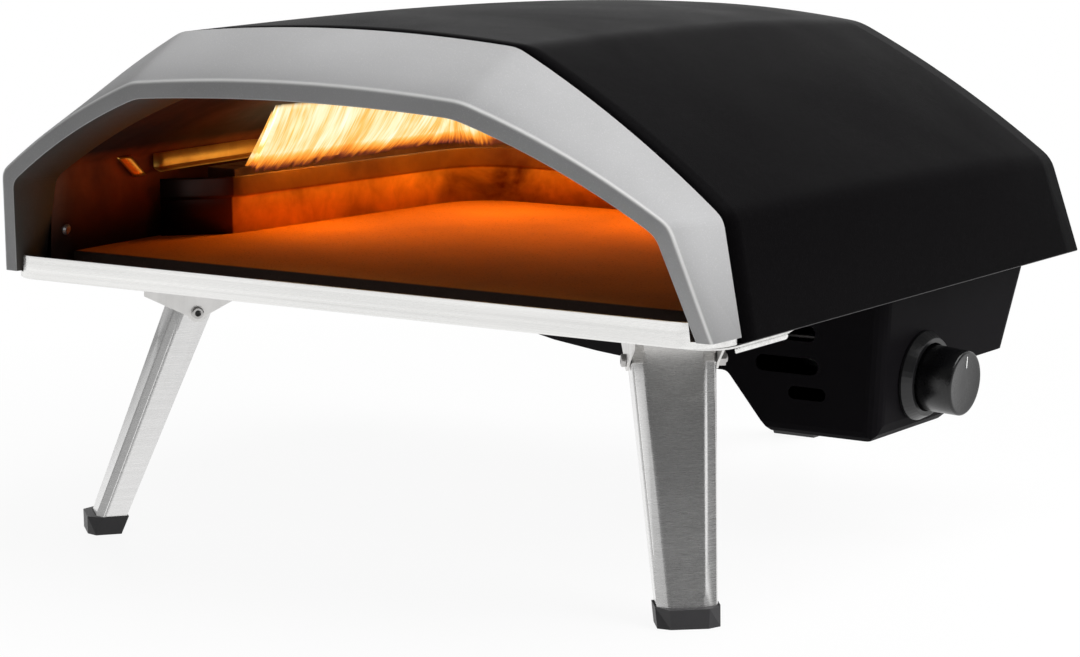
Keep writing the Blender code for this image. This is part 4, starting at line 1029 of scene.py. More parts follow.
# Sub-assemblies


@dataclass
class Assembly:
    """A group of pieces, with the oven's place and the finishes that they wear."""

    site: Site
    finishes: Finishes

    def sheet(self, name: str, points: Array, wall: float, key: str) -> bpy.types.Object:
        """Make a sheet, with its wall inwards from its outer face.

        Args:
            name: The piece's name.
            points: Array (rows, columns, 3) in the oven's coordinates.
            wall: Its thickness.
            key: Its finish.

        Returns:
            The piece.
        """
        piece = grid_mesh(name, self.site.place(points))
        thicken(piece, wall)
        return self.finishes.give(piece, key)

    def build(self) -> None:
        """Make and dress the pieces; each sub-assembly has its own."""
        raise NotImplementedError


@dataclass
class Arch:
    """The cross-section that the shell, the fascia and the chamber share."""

    rise: float = 0.0095
    pull: float = 0.0012
    bulge: float = 0.0050
    top_steps: int = 14
    slope_steps: int = 14

    def points(self, top: Point, low: Point, foot: Point, pull: Optional[float] = None,
               rise: Optional[float] = None) -> Array:
        """Points over the arch from the left foot to the right one.

        The top is a parabola that rises by `rise` and comes forward by `pull` in its
        middle; each slope bulges outwards by a parabola; the sides are straight.

        Args:
            top: The right top ridge.
            low: The right lower ridge.
            foot: The right foot.
            pull: How far the top comes forward, if not the usual.
            rise: How far the top rises, if not the usual.

        Returns:
            Array (n, 3).
        """
        top, low, foot = (np.array(p, float) for p in (top, low, foot))
        pull = self.pull if pull is None else pull
        rise = self.rise if rise is None else rise
        share = np.arange(self.top_steps)[:, None] / self.top_steps
        swell = 1 - share ** 2
        lift = np.hstack([swell * 0, -pull * swell, rise * swell])
        crown = top * [1, 0, 0] * share + top * [0, 1, 1] + lift
        slope = low - top
        out = np.array([-slope[2], 0, slope[0]])
        out /= np.linalg.norm(out)
        share = np.linspace(0, 1, self.slope_steps + 1)[:, None]
        side = top + slope * share + out * self.bulge * 4 * share * (1 - share)
        half = np.vstack([crown, side, foot])
        return np.vstack([half[:0:-1] * [-1, 1, 1], half])

    def ridge_reaches(self, low: float, top: float, skip: int = 0) -> dict[int, float]:
        """How far each ridge's rounding reaches.

        Args:
            low: The reach at the two lower ridges.
            top: The reach at the two top ridges.
            skip: Columns in front of the left foot.

        Returns:
            The columns of the four ridges, from the left, with their reaches.
        """
        first = 1 + self.slope_steps
        columns = (1, first, first + 2 * self.top_steps, first + 2 * self.top_steps + self.slope_steps)
        return {skip + column: reach for column, reach in zip(columns, (low, top, top, low))}


@dataclass
class OvenShell(Assembly):
    """The black outer shell and the grey fascia in front of it."""

    arch: Arch = field(default_factory=Arch)
    top_ridge: Point = (0.1370, 0.0188, 0.1693)
    low_ridge: Point = (0.2850, 0.0200, 0.0730)
    skirt: Point = (0.2910, 0.0310, -0.0047)
    seam_foot: Point = (0.2910, 0.0310, 0.0)
    seam_gap: float = 0.0012
    hem: float = 0.0120
    hem_round: float = 0.0018
    wall: float = 0.0012
    back_y: float = 0.4440
    back_lean: float = 0.27
    top_drop: float = 0.0130
    low_drop: float = 0.0100
    low_inset: float = 0.0070
    rows: int = 26
    ridge_round: float = 0.0075
    seam_rise: float = 0.0068
    swell: float = 0.0035
    swell_share: float = 0.4
    fascia_wall: float = 0.0020
    fascia_round: float = 0.0060
    # The fascia's lines in front of the seam: top ridge, lower ridge, foot, pull and rise.
    mouth_lines: tuple[tuple[Point, Point, Point, Optional[float], float], ...] = (
        ((0.1260, 0.0220, 0.1285), (0.2580, 0.0220, 0.0640), (0.2720, 0.0220, 0.0), 0.0, 0.0044),
        ((0.1277, -0.0387, 0.1297), (0.2607, -0.0179, 0.0650), (0.2778, 0.0, 0.0), None, 0.0046),
        ((0.1336, -0.0368, 0.1403), (0.2708, -0.0180, 0.0720), (0.2892, 0.0006, 0.0), None, 0.0063))
    fold_rounds: tuple[float, float] = (0.0012, 0.0022)
    return_rows: int = 3
    # Rows of the fascia's grid with the strength of the painted highlight along its folds.
    fold_highlight_rows: tuple[tuple[int, float], ...] = ((4, 0.35), (8, 0.4), (9, 1.0), (10, 1.0), (11, 0.4))

    def shell_grid(self) -> Array:
        """The shell's outer face.

        Row by row the arch goes from the seam to the leaning back plane, and its ridges
        sink with the cube of the share of the length. Its crown swells behind the seam by
        a parabola.

        Returns:
            Array (rows, columns, 3) in the oven's coordinates.
        """
        (top_x, top_y, top_z), (low_x, low_y, low_z) = self.top_ridge, self.low_ridge
        made = []
        for share in np.linspace(0, 1, self.rows):
            fall = share ** 3
            rise = self.seam_rise + self.swell * (1 - (1 - min(1.0, share / self.swell_share)) ** 2)
            row = self.arch.points((top_x, top_y, top_z - self.top_drop * fall),
                                   (low_x - self.low_inset * fall, low_y, low_z - self.low_drop * fall),
                                   self.skirt, rise=rise) + [0, self.seam_gap, 0]
            back = self.back_y + (top_z - self.top_drop - row[:, 2]) * self.back_lean
            row[:, 1] += (back - row[:, 1]) * share
            made.append(np.vstack([row[0] + [self.hem, 0, 0], row, row[-1] - [self.hem, 0, 0]]))
        grid = np.array(made)
        reaches = self.arch.ridge_reaches(self.ridge_round, self.ridge_round, skip=1)
        return round_columns(grid, {1: self.hem_round, grid.shape[1] - 2: self.hem_round, **reaches})

    def fascia_grid(self) -> Array:
        """The fascia's outer face: return, front band and wide band, with rounded folds.

        Returns:
            Array (rows, columns, 3) in the oven's coordinates.
        """
        rows = [self.arch.points(*line) for line in self.mouth_lines]
        rows.append(self.arch.points(self.top_ridge, self.low_ridge, self.seam_foot, rise=self.seam_rise))
        reaches = self.arch.ridge_reaches(self.fascia_round, self.fascia_round)
        grid = round_columns(np.array(rows), reaches)
        return round_rows(grid, dict(enumerate(self.fold_rounds, 1)), 5)

    def build(self) -> None:
        """Make both sheets, with the fascia's return in a darker grey as painted shade and a painted
        highlight along its folds.
        """
        shell = self.sheet("shell_skin", self.shell_grid(), self.wall, "shell")
        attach(shell, OVEN_BODY)
        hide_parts("outer_shell")
        grid = self.fascia_grid()
        fascia = self.sheet("fascia_skin", grid, self.fascia_wall, "fascia")
        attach(fascia, OVEN_BODY)
        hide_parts("front_fascia")
        # The return rows wear the darker copy of the grey, as painted shade.
        fascia.data.materials.append(self.finishes.made["return"])
        which = np.zeros(len(fascia.data.polygons), np.int32)
        which[:(grid.shape[1] - 1) * self.return_rows] = 1
        fascia.data.polygons.foreach_set("material_index", which)
        # Write the painted fold highlight's strength on each point of the grid.
        share = np.zeros(grid.shape[:2], np.float32)
        for row, amount in self.fold_highlight_rows:
            share[row] = amount
        fascia.data.attributes.new(FOLD_HIGHLIGHT_MASK, "FLOAT", "POINT").data.foreach_set("value", share.ravel())


@dataclass
class Chamber(Assembly):
    """The chamber's arched liner and the wool blanket that lies on it."""

    arch: Arch = field(default_factory=Arch)
    top: tuple[float, float] = (0.1297, 0.1347)
    low: tuple[float, float] = (0.2630, 0.0712)
    foot: tuple[float, float] = (0.2672, -0.0047)
    rows: int = 18
    front_y: float = 0.0226
    back_y: float = 0.4374
    back_lean: float = 0.27
    lean_z: float = 0.1563
    top_drop: float = 0.0190
    low_drop: float = 0.0180
    rounds: tuple[float, float] = (0.004, 0.006)
    wall: float = 0.0012
    wool_step: float = 0.0120
    wool_slant: float = 0.4
    wool_wall: float = 0.0100
    wool_front_y: float = 0.0440

    def arch_grid(self, step: float, front_y: float) -> Array:
        """Arches from the mouth to the leaning back plane, moved out by a step.

        Both ridges sink with the cube of the share of the length.

        Args:
            step: How far outside the liner's outer face it lies.
            front_y: Where its front edge is.

        Returns:
            Array (rows, columns, 3) in the oven's coordinates.
        """
        (top_x, top_z), (low_x, low_z), (foot_x, foot_z) = self.top, self.low, self.foot
        slant = step * self.wool_slant
        made = []
        for share in np.linspace(0, 1, self.rows):
            fall = share ** 3
            row = self.arch.points((top_x + slant, front_y, top_z + step - self.top_drop * fall),
                                   (low_x + step, front_y, low_z + slant - self.low_drop * fall),
                                   (foot_x + step, front_y, foot_z), 0.0)
            back = self.back_y + (self.lean_z - row[:, 2]) * self.back_lean
            row[:, 1] += (back - row[:, 1]) * share
            made.append(row)
        return round_columns(np.array(made), self.arch.ridge_reaches(*self.rounds))

    def build(self) -> None:
        """Make both sheets."""
        liner = self.sheet("liner_skin", self.arch_grid(0.0, self.front_y), self.wall, "liner")
        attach(liner, OVEN_BODY)
        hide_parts("chamber_liner")
        matted = self.arch_grid(self.wool_step, self.wool_front_y)
        wool = self.sheet("blanket_skin", matted, self.wool_wall, "wool")
        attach(wool, OVEN_BODY)
        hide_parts("insulation_blanket")


@dataclass
class FlameGuard(Assembly):
    """The screen between stone and burner: a panel, a proud band and a round nose with a painted dark
    reflection.
    """

    corners: tuple[Point, ...] = (
        (-0.2570, 0.1270, 0.0), (-0.2190, 0.1620, 0.0280), (-0.1860, 0.4120, 0.0450),
        (0.2570, 0.4120, 0.0))
    foot_z: float = 0.0106
    height: float = 0.0414
    band: float = 0.0140
    step: float = 0.0015
    rim: float = 0.0008
    bends: tuple[float, float, float] = (0.0009, 0.0009, 0.0004)
    wall: float = 0.0010

    def build(self) -> None:
        """Raise the path through panel, step, band and a small rolled rim."""
        path = bent_path(self.corners)
        right, _ = path_frame(path)
        top = self.foot_z + self.height
        band = top - self.band
        levels = ((0.0, self.foot_z), (0.0, band - self.step), (self.step, band),
                  (self.step, top - self.rim), (self.step - self.rim, top))
        rows = np.array([np.column_stack([path + right * out, np.full(len(path), z)])
                         for out, z in levels])
        grid = round_rows(rows, dict(enumerate(self.bends, 1)), 3)
        guard = self.sheet("guard_skin", grid, self.wall, "guard")
        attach(guard, OVEN_BODY)
        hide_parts("flame_guard")


@dataclass
class FlameLitStrip(Assembly):
    """A bright orange strip on the wall above the burner and a slanting clip in front of it: sheets that
    stand for the flame-lit band of the wall, as painted light.
    """

    wall_x: float = -0.2595
    start_y: float = 0.1240
    end_y: float = 0.4180
    low_z: float = 0.0598
    top_z: float = 0.0702
    fold: float = 0.0060
    fold_slope: float = 0.3
    fold_round: float = 0.0012
    run_steps: int = 24
    wave: tuple[float, float] = (0.0004, 70.0)
    clip: tuple[tuple[float, float], tuple[float, float]] = ((0.0925, 0.0712), (0.1090, 0.0560))
    clip_width: float = 0.0140
    clip_dish: float = 0.0015
    clip_steps: tuple[int, int] = (8, 7)
    wall: float = 0.0006

    def build(self) -> None:
        """Make the strip with its folded foot and a faint wave, and the clip as a shallow trough."""
        run = np.linspace(self.start_y, self.end_y, self.run_steps)
        wave = self.wave[0] * np.sin(run * self.wave[1])
        profile = ((self.fold, self.low_z - self.fold * self.fold_slope), (0.0, self.low_z),
                   (0.0, self.top_z))
        rows = np.array([np.column_stack([self.wall_x + out + wave, run, 0 * run + z])
                         for out, z in profile])
        # Painted light: the strip stands for the band of wall that the flames light.
        strip = self.sheet("burner_flame_lit", round_rows(rows, {1: self.fold_round}, 3), self.wall, "flame_lit")
        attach(strip, OVEN_BODY)
        start, end = np.array(self.clip)
        line = start + (end - start) * np.linspace(0, 1, self.clip_steps[0])[:, None]
        across = np.linspace(-1, 1, self.clip_steps[1])
        y = line[:, :1] + across * self.clip_width / 2
        out = self.wall_x + self.clip_dish * (1 - across ** 2) + 0 * y
        trough = np.stack([out, y, line[:, 1:] + 0 * y], -1)[::-1]
        # Painted light: the clip stands for the bright slanting stripe that the flames light.
        clip = self.sheet("flame_lit_clip", trough, self.wall, "flame_lit")
        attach(clip, OVEN_BODY)


@dataclass
class FlameCurtain(Assembly):
    """Sheets of flame that rise from the burner and lean in under the roof."""

    corners: tuple[Point, ...] = (
        (-0.2380, 0.1900, 0.0), (-0.2380, 0.4360, 0.0450), (0.2200, 0.4360, 0.0))
    foot_z: float = 0.0500
    foot_in: float = 0.0090
    lean: float = 0.0280
    wall: float = 0.0040
    ripples: tuple[tuple[float, float, float], ...] = ((0.0015, 95.0, 1.0), (0.0025, 31.0, 2.0))
    roof_top: tuple[float, float] = (0.1290, 0.1335)
    roof_low: tuple[float, float] = (0.2618, 0.0705)
    roof_rise: float = 0.0095
    roof_bulge: float = 0.0045
    roof_fall: float = 0.0190
    roof_start_y: float = 0.0226
    roof_length: float = 0.4400
    clearance: float = 0.0010
    columns: int = 300
    levels: int = 20
    # Each sheet's name, glow, density, seed, step in from the usual line, and share of the room's height.
    sheets: tuple[tuple[str, float, float, float, float, float], ...] = (
        ("flame_front", 1.15, 0.80, 1.7, 0.006, 0.97), ("flame_middle", 1.45, 0.95, 4.1, 0.0, 1.0),
        ("flame_rear", 1.15, 0.90, 7.3, -0.006, 0.95))

    def roof(self, x: Array, y: Array) -> Array:
        """The roof's height over a place.

        It is a parabola between the ridges and a bulged slope beside them, and it sinks
        with the cube of the share of the depth.

        Args:
            x: Places across the oven.
            y: Places along its depth.

        Returns:
            The height at each place.
        """
        (top_x, top_z), (low_x, low_z) = self.roof_top, self.roof_low
        across = np.abs(x)
        share = np.clip((across - top_x) / (low_x - top_x), 0, 1)
        slope = top_z + (low_z - top_z) * share + self.roof_bulge * 4 * share * (1 - share)
        crown = top_z + self.roof_rise * (1 - np.minimum(across / top_x, 1) ** 2)
        fall = self.roof_fall * np.clip((y - self.roof_start_y) / self.roof_length, 0, 1) ** 3
        return np.where(across < top_x, crown, slope) - fall

    def curtain(self, finish: Flame, offset: float, reach: float) -> None:
        """Make one closed sheet of flame.

        It leans inwards with its height, ripples along the burner, climbs to just under
        the roof and is thickest in its middle height.

        Args:
            finish: Its look, which names the piece.
            offset: How far its foot stands in from the usual line.
            reach: Its height as a share of the room under the roof.
        """
        line = bent_path(self.corners)
        _, along = path_frame(line)
        share = np.linspace(0, along[-1], self.columns)
        points = np.stack([np.interp(share, along, line[:, k]) for k in (0, 1)], -1)
        inward, share = path_frame(points)
        up = np.linspace(0, 1, self.levels)[:, None]
        wave = sum(size * np.sin(share * pace + shift * finish.seed)
                   for size, pace, shift in self.ripples)
        faces = []
        for side in (1, -1):
            half = side * self.wall / 2 * np.sin(math.pi * up)
            out = self.foot_in + offset + self.lean * up + wave * up + half
            flat = points[None] + inward[None] * out[..., None]
            room = self.roof(flat[..., 0], flat[..., 1]) - self.clearance - self.foot_z
            faces.append(np.concatenate([flat, (self.foot_z + room * reach * up)[..., None]], -1))
        ring = np.concatenate([faces[0], faces[1][-2:0:-1]])
        piece = grid_mesh(finish.name, self.site.place(ring.transpose(1, 0, 2)), closed=True)
        self.map_uv(piece, share, np.concatenate([up[:, 0], up[-2:0:-1, 0]]))
        piece.data.materials.append(finish.build(self.finishes.effects))
        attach(piece, OVEN_BODY)

    def map_uv(self, piece: bpy.types.Object, along: Array, heights: Array) -> None:
        """Write metres along and height share into the UV map, corner by corner.

        Args:
            piece: The closed sheet.
            along: Metres along at each row of its grid.
            heights: The share of the height at each column of its grid.
        """
        mesh = piece.data
        corner = np.zeros(len(mesh.loops), np.int32)
        mesh.loops.foreach_get("vertex_index", corner)
        u = np.concatenate([np.repeat(along, len(heights)), [along[0], along[-1]]])
        v = np.concatenate([np.tile(heights, len(along)), [0.5, 0.5]])
        layer = mesh.uv_layers.new(name="flame")
        layer.data.foreach_set("uv", np.stack([u[corner], v[corner]], -1).ravel().astype(np.float32))

    def build(self) -> None:
        """Make the sheets of the flame."""
        for name, strength, density, seed, offset, reach in self.sheets:
            self.curtain(Flame(name, strength=strength, density=density, seed=seed), offset, reach)


@dataclass
class Knob(Assembly):
    """The gas knob: a tapered cap with a rounded rim and a white pointer line."""

    centre: Point = (0.24948, 0.3310, -0.0743)
    axis: Point = (0.997763, 0.0, -0.06685)
    radius: float = 0.0230
    face_radius: float = 0.0224
    middle_radius: float = 0.0030
    start: float = 0.0045
    end: float = 0.0352
    chamfer: float = 0.0010
    rim: float = 0.0018
    sink: float = 0.0004
    mark: tuple[float, float, float] = (0.0105, 0.0186, 0.0011)
    mark_height: float = 0.0003
    steps: int = 72
    rim_steps: int = 7
    mark_steps: int = 6

    def build(self) -> None:
        """Turn the cap's profile, with the rim as a quarter circle, and lay the pointer on its face."""
        centre, axis = self.site.place(self.centre), np.array(self.axis)
        turn = np.linspace(0, math.pi / 2, self.rim_steps)
        rim = np.column_stack([self.face_radius - self.rim + self.rim * np.cos(turn),
                               self.end - self.rim + self.rim * np.sin(turn)])
        face_z = self.end - self.sink
        foot = [(self.radius - self.chamfer, self.start), (self.radius, self.start + self.chamfer)]
        top = [(self.face_radius - 2 * self.rim, face_z), (self.middle_radius, face_z)]
        profile = np.vstack([foot, rim, top])
        cap = grid_mesh("knob_cap", turned_points(profile, centre, axis, self.steps), closed=True)
        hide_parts("control_knob")
        self.finishes.give(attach(cap, KNOB_BODY), "plastic")
        low, high, width = self.mark
        up = np.cross(axis, (0.0, 1.0, 0.0))
        up = up if up[2] > 0 else -up
        face = centre + axis * (face_z + self.mark_height)
        along = np.linspace(low, high, self.mark_steps)[:, None, None]
        across = np.array([1.0, -1.0])[None, :, None] * width / 2 * np.array([0.0, 1.0, 0.0])
        mark = grid_mesh("knob_pointer", face + up * along - across)
        thicken(mark, self.mark_height)
        self.finishes.give(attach(mark, KNOB_BODY), "mark")


@dataclass
class HingePins(Assembly):
    """Socket-headed pins with a bright rim, and a dark disc in each socket as painted shade."""

    front: Point = (0.2008, 0.0931, -0.0311)
    rear: Point = (0.0, 0.5020, -0.0311)
    turn: float = math.radians(40.5)
    shaft: float = 0.0030
    head: float = 0.0042
    end: float = 0.0296
    head_height: float = 0.0030
    tail: float = 0.0060
    chamfer: float = 0.0006
    edge: float = 0.0002
    socket: tuple[float, float] = (0.0021, 0.0016)
    # The shade disc's gap to the socket wall, and its height.
    recess: tuple[float, float] = (0.0003, 0.0004)
    socket_taper: float = 0.0001
    steps: int = 36
    socket_sides: int = 6

    def pin(self, leg: str, place: Point, axis: Array) -> None:
        """Turn one pin from its tail to its head, and put a dark disc in its socket as painted shade.

        Args:
            leg: The leg that it holds.
            place: The middle of its hinge in the oven's coordinates.
            axis: The direction towards its head.
        """
        top, tail = self.end + self.head_height, -self.end - self.tail
        width, depth = self.socket
        gap, height = self.recess
        profile = np.array([
            (self.shaft - self.chamfer, tail), (self.shaft, tail + self.chamfer),
            (self.shaft, self.end), (self.head, self.end), (self.head, top - self.chamfer),
            (self.head - self.chamfer, top), (width, top), (width - self.socket_taper, top - depth)])
        centre = self.site.place(place)
        points = turned_points(profile, centre, axis, self.steps)
        pin = grid_mesh("hinge_screw_" + leg, points, closed=True)
        soften(pin, self.edge)
        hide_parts("hinge_pin_" + leg)
        self.finishes.give(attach(pin, OVEN_BODY), "screw")
        # Painted shade: a near-black disc near the socket's floor stands for the shade in the hole.
        disc = np.array([(width - gap, top - depth), (width - gap, top - depth + height)])
        points = turned_points(disc, centre, axis, self.socket_sides)
        recess = grid_mesh("hinge_socket_shade_" + leg, points, closed=True, shade=Shade.FLAT)
        self.finishes.give(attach(recess, OVEN_BODY), "dark")

    def build(self) -> None:
        """Place the pins along the legs' hinge axes."""
        c, s = math.cos(self.turn), math.sin(self.turn)
        x, y, z = self.front
        self.pin("front_left", (-x, y, z), np.array([c, -s, 0]))
        self.pin("front_right", (x, y, z), np.array([-c, -s, 0]))
        self.pin("rear", self.rear, np.array([1.0, 0, 0]))


@dataclass
class BraidedSleeve(Assembly):
    """The woven tube that shows in the foot of the housing's top slot."""

    left: float = 0.1400
    right: float = 0.2300
    depth: float = 0.2795
    height: float = -0.0452
    radius: float = 0.0010
    sag: float = 0.0010
    columns: int = 30
    sides: int = 14

    def build(self) -> None:
        """Sweep a circle along a line that sags as a parabola."""
        share = np.linspace(0, 1, self.columns)
        x = self.left + (self.right - self.left) * share
        z = self.height + self.sag * (2 * share - 1) ** 2
        turn = np.linspace(0, 2 * math.pi, self.sides, endpoint=False)
        y = self.depth + self.radius * np.cos(turn)
        up = z[:, None] + self.radius * np.sin(turn)
        ring = np.stack([x[:, None] + 0 * y, y + 0 * x[:, None], up], -1)
        sleeve = grid_mesh("braided_sleeve", self.site.place(ring), closed=True)
        self.finishes.give(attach(sleeve, OVEN_BODY), "braid")


@dataclass
class TrayEdge(Assembly):
    """The bright turned-down edge of the tray, which shows under the shell's skirt."""

    side: float = 0.2889
    start: float = 0.0290
    end: float = 0.0890
    top: float = -0.0052
    foot: float = -0.0098
    bulge: float = 0.0008
    nose_share: float = 0.2
    nose_size: float = 0.03
    columns: int = 25
    sides: int = 16

    def build(self) -> None:
        """Make both edges: an upright oval section that shrinks to a round nose at its end."""
        share = np.linspace(0, 1, self.columns)
        run = self.start + (self.end - self.start) * np.sin(share * math.pi / 2)
        nose = ((share - 1 + self.nose_share) / self.nose_share).clip(0, 1)
        size = np.sqrt(np.clip(1 - nose ** 2, self.nose_size, 1))
        turn = np.linspace(0, 2 * math.pi, self.sides, endpoint=False)
        middle, half = (self.top + self.foot) / 2, (self.top - self.foot) / 2
        for name, sign in (("left", -1), ("right", 1)):
            x = sign * (self.side - self.bulge) + self.bulge * np.cos(sign * turn) + 0 * run[:, None]
            z = middle + half * size[:, None] * np.sin(sign * turn)
            ring = np.stack([x, run[:, None] + 0 * z, z], -1)
            edge = grid_mesh("tray_edge_" + name, self.site.place(ring[:, ::-sign]), closed=True)
            self.finishes.give(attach(edge, OVEN_BODY), "lip")


@dataclass
class FoldedLegs(Assembly):
    """The legs' folded channels, with a rolled bend along each fold."""

    bend: float = 0.0018
    steps: int = 4
    long: float = 0.080
    flat: float = 0.005
    angles: tuple[float, float] = (math.radians(15), math.radians(75))

    def bend_folds(self, mesh: bpy.types.Mesh) -> int:
        """Join a mesh's loose triangles, and round its long folds.

        Args:
            mesh: A copy of a leg's own mesh, which is changed.

        Returns:
            How many folds were rounded.
        """
        low, high = self.angles
        body = bmesh.new()
        body.from_mesh(mesh)
        bmesh.ops.remove_doubles(body, verts=body.verts, dist=WELD_REACH)
        bmesh.ops.dissolve_limit(body, angle_limit=self.flat, verts=body.verts, edges=body.edges)
        folds = [edge for edge in body.edges
                 if len(edge.link_faces) == 2 and edge.calc_length() > self.long
                 and low < edge.calc_face_angle() < high]
        bmesh.ops.bevel(body, geom=folds, offset=self.bend, offset_type="OFFSET", segments=self.steps,
                        profile=0.5, affect="EDGES", clamp_overlap=False)
        for face in body.faces:
            face.smooth = True
        for edge in body.edges:
            edge.smooth = len(edge.link_faces) == 2 and edge.calc_face_angle() < low
        body.to_mesh(mesh)
        body.free()
        return len(folds)

    def build(self) -> None:
        """Copy each CAD leg, and round its folds.

        A grid of points can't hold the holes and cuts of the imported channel, so its own
        mesh is copied, merged and bevelled along the folds alone.
        """
        for leg in LEG_NAMES:
            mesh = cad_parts["leg_" + leg].data.copy()
            log.info("leg_%s: %d folds rounded", leg, self.bend_folds(mesh))
            piece = add_object("leg_skin_" + leg, mesh)
            piece.modifiers.new("normals", "WEIGHTED_NORMAL").keep_sharp = True
            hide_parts("leg_" + leg)
            self.finishes.give(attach(piece, "leg_" + leg), "leg")


@dataclass
class Dressing(Assembly):
    """Finishes and rounded edges for the CAD nodes that stay."""

    looks: tuple[tuple[str, str, float], ...] = (
        ("rear_panel", "shell", 0.0), ("panel_screw", "screw", 0.0003), ("liner_screw", "screw", 0.0003),
        ("chamber_back_wall", "liner", 0.0), ("base_tray", "tray", 0.0003), ("front_lip", "lip", 0.0005),
        ("baking_stone", "stone", 0.0012), ("burner_housing", "housing", 0.0007),
        ("burner", "burner", 0.0004), ("intake_duct", "duct", 0.0007), ("mixing_tube", "tray", 0.0),
        ("gas_jet", "brass", 0.0),
        ("gas_valve", "brass", 0.0004), ("gas_pipe", "tray", 0.0), ("gas_inlet", "brass", 0.0004),
        ("igniter_electrode", "ceramic", 0.0), ("piezo_igniter", "plastic", 0.0008),
        ("knob_collar", "collar", 0.0004), ("valve", "brass", 0.0), ("leg_bracket", "bracket", 0.0004),
        ("hinge_nut", "screw", 0.0004), ("bracket_rivet", "screw", 0.0), ("foot_cap", "rubber", 0.0007),
    )

    def build(self) -> None:
        """Dress each node that is still shown with the first row that fits its name."""
        for name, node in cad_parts.items():
            if node.hide_render:
                continue
            key, width = next((look, edge) for start, look, edge in self.looks if name.startswith(start))
            self.finishes.give(node, key)
            if width:
                soften(node, width, weld=True)


@dataclass
class Studio(Assembly):
    """The pale floor, the soft lamps, the flame's light and the photograph's camera."""

    pixels: tuple[int, int] = (1080, 657)
    sensor: float = 36.0
    focal: float = 3279.70442
    yaw: float = 0.61326
    pitch: float = 0.16826
    roll: float = -0.01115
    eye: Point = (1.31147079, -1.62503573, 0.33683306)
    centre: tuple[float, float] = (544.20331, 328.28618)
    toward: Point = (0.575, -0.818, 0.0)
    left: Point = (-0.95, -0.30, 0.0)
    low_left: Point = (-0.95, -0.30, -0.5)
    front_left: Point = (-0.66, -0.66, 0.36)
    # Each span is where a value starts and ends, and the brightness at both.
    room_toward: Span = (-0.20, 0.6, 0.60, 0.06)
    room_left: Span = (-0.5, 0.4, 1.0, 0.12)
    back_toward: Span = (-0.55, 0.05, 0.95, 0.14)
    back_left: Span = (0.22, 0.50, 1.0, 0.3)
    hoop_at: float = 0.45
    hoop_glow: Span = (0.09, 0.16, 0.95, 0.0)
    side_glow: Span = (0.80, 0.97, 0.0, 0.35)
    floor_white: Span = (0.35, 0.9, 0.92, 1.0)
    floor_mirror: Span = (0.1, 0.8, 1.0, 0.3)
    floor_reach: float = 14.0
    floor_drop: float = 0.0002
    warm: Colour = (1.0, 0.36, 0.010)

    def camera(self) -> None:
        """Place the camera from its turns and its eye, in the oven's coordinates."""
        run = math.cos(self.pitch)
        ahead = Vector((-math.sin(self.yaw) * run, math.cos(self.yaw) * run, -math.sin(self.pitch)))
        level = Vector((math.cos(self.yaw), math.sin(self.yaw), 0))
        over = level.cross(ahead)
        c, s = math.cos(self.roll), math.sin(self.roll)
        turn = Matrix((c * level + s * over, -s * level + c * over, -ahead)).transposed().to_4x4()
        turn.translation = Vector(self.site.place(self.eye))
        data = bpy.data.cameras.new("camera")
        data.sensor_width = self.sensor
        data.lens = self.focal / self.pixels[0] * self.sensor
        data.shift_x = (self.pixels[0] / 2 - self.centre[0]) / self.pixels[0]
        data.shift_y = (self.centre[1] - self.pixels[1] / 2) / self.pixels[0]
        eye = add_object("camera", data)
        eye.matrix_world = turn
        bpy.context.scene.camera = eye

    def lamp(self, name: str, place: Point, energy: float, size: float, colour: Colour = (1, 1, 1),
             aim: Optional[Point] = None, glossy: bool = True, depth: Optional[float] = None) -> None:
        """Add a lamp: an area lamp if it aims at a place, and else a point lamp.

        Args:
            name: Its name.
            place: Its place in the oven's coordinates.
            energy: Its power in watts.
            size: An area lamp's side, or a point lamp's radius.
            colour: Its colour.
            aim: Where an area lamp looks.
            glossy: Whether it shows in reflections.
            depth: The short side of a long area lamp.
        """
        data = bpy.data.lights.new(name, "AREA" if aim else "POINT")
        data.energy = energy
        data.color = colour
        lamp = add_object(name, data)
        lamp.location = Vector(self.site.place(place))
        if aim:
            data.size = size
            look = Vector(self.site.place(aim)) - lamp.location
            lamp.rotation_euler = look.to_track_quat("-Z", "Y").to_euler()
        else:
            data.shadow_soft_size = size
        if depth is not None:
            data.shape = "RECTANGLE"
            data.size_y = depth
        lamp.visible_camera = False
        lamp.visible_glossy = glossy

    def world(self) -> None:
        """White behind the object, and a soft room that is darker on the camera's side."""
        world = bpy.data.worlds.new("studio")
        world.use_nodes = True
        bpy.context.scene.world = world
        tree = Tree(world.node_tree)
        world.node_tree.nodes.clear()
        way = tree.add("ShaderNodeTexCoord").outputs["Generated"]
        toward, left, low_left, front_left = (
            tree.dot(way, side) for side in (self.toward, self.left, self.low_left, self.front_left))
        room = tree.math("MULTIPLY", tree.spread(toward, *self.room_toward),
                         tree.spread(left, *self.room_left))
        backdrop = tree.math("MULTIPLY", tree.spread(toward, *self.back_toward),
                             tree.spread(low_left, *self.back_left))
        hoop = tree.math("ABSOLUTE", tree.math("SUBTRACT", toward, self.hoop_at))
        lights = tree.math("ADD", tree.spread(hoop, *self.hoop_glow),
                           tree.spread(front_left, *self.side_glow))
        rays = tree.add("ShaderNodeLightPath").outputs
        glossy = tree.math("MAXIMUM", rays["Is Glossy Ray"], rays["Is Transmission Ray"])
        seen = tree.mix(glossy, room, tree.math("ADD", backdrop, lights))
        white = tree.mix(rays["Is Camera Ray"], seen, (1.0, 1.0, 1.0))
        light = tree.add("ShaderNodeBackground", {"Color": white, "Strength": 1.0})
        tree.add("ShaderNodeOutputWorld", {0: light.outputs[0]})

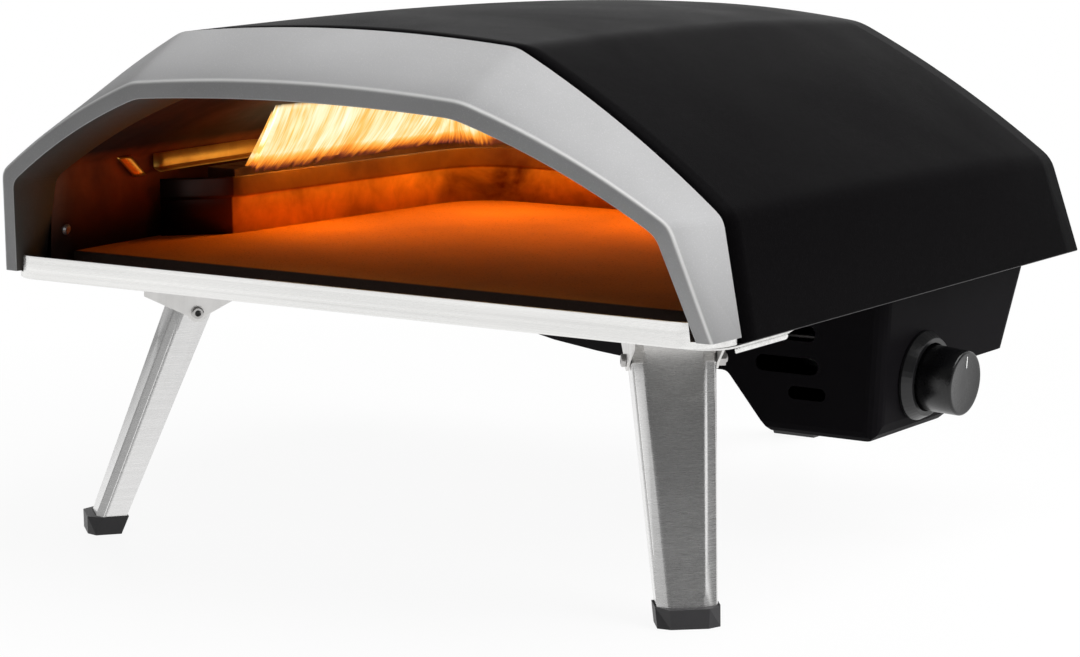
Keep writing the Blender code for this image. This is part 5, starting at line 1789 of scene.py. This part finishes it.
    def floor(self) -> None:
        """A pale sheet that keeps the shadow near the oven and is white further out."""
        x, y = np.meshgrid(*[np.linspace(-self.floor_reach, self.floor_reach, 15)] * 2)
        floor = grid_mesh("floor", np.stack([x, y, 0 * x - self.floor_drop], -1))
        coat = Coating("pale_floor", self.finishes.effects)
        coat.paint({"Base Color": (0.88, 0.88, 0.88, 1.0), "Roughness": 0.35, "Specular IOR Level": 0.25})
        away = coat.add("ShaderNodeVectorMath", {0: coat.place}, operation="LENGTH").outputs["Value"]
        rays = coat.add("ShaderNodeLightPath").outputs
        camera = coat.math("MULTIPLY", coat.spread(away, *self.floor_white), rays["Is Camera Ray"])
        mirrored = coat.math("MAXIMUM", rays["Is Glossy Ray"], rays["Is Transmission Ray"])
        depth = coat.split(coat.place)[1]
        glossy = coat.math("MULTIPLY", coat.spread(depth, *self.floor_mirror), mirrored)
        glow = coat.add("ShaderNodeEmission", {"Color": (1.0, 1.0, 1.0, 1.0), "Strength": 1.0})
        share = coat.math("MAXIMUM", camera, glossy)
        blend = coat.add("ShaderNodeMixShader", {0: share, 1: coat.shader.outputs[0], 2: glow.outputs[0]})
        coat.feed(coat.tree.nodes["Material Output"].inputs[0], blend.outputs[0])
        floor.data.materials.append(coat.material)
        floor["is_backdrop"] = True

    def build(self) -> None:
        """Set up the whole studio."""
        self.camera()
        self.world()
        self.floor()
        self.lamp("key", (2.1, 0.6, 1.3), 38.0, 1.4, aim=(0, 0.2, 0.05), glossy=False)
        self.lamp("top", (0.9, 0.6, 2.1), 38.0, 1.5, aim=(0.1, 0.2, 0.1))
        self.lamp("edge", (-0.5, -1.2, 1.8), 5.5, 1.8, aim=(0, 0, 0.1), depth=0.12)
        self.lamp("flame_left", (-0.195, 0.225, 0.084), 0.40, 0.014, self.warm, glossy=False)
        self.lamp("flame_corner", (-0.125, 0.350, 0.098), 0.46, 0.016, self.warm, glossy=False)
        self.lamp("flame_back", (0.04, 0.375, 0.098), 0.64, 0.016, self.warm, glossy=False)
        bpy.context.scene.view_settings.view_transform = "Standard"


def main() -> None:
    """Build the oven's looks in order."""
    logging.basicConfig(level=logging.INFO, format="%(name)s: %(message)s")
    site = Site.from_frame()
    finishes = Finishes(Effects(), site)
    log.info("oven's origin at %s", site.origin)
    steps: tuple[tuple[str, type[Assembly]], ...] = (
        ("shell and fascia", OvenShell), ("chamber", Chamber), ("flame guard", FlameGuard),
        ("burner shield", FlameLitStrip), ("flames", FlameCurtain), ("knob", Knob),
        ("hinge pins", HingePins),
        ("braided sleeve", BraidedSleeve), ("tray edges", TrayEdge), ("folded legs", FoldedLegs),
        ("CAD nodes", Dressing), ("studio", Studio))
    for label, kind in steps:
        kind(site, finishes).build()
        log.info("built %s", label)
    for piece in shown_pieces():
        log.info("%s: %d faces", piece.name, len(piece.data.polygons))


if __name__ == "__main__":
    main()
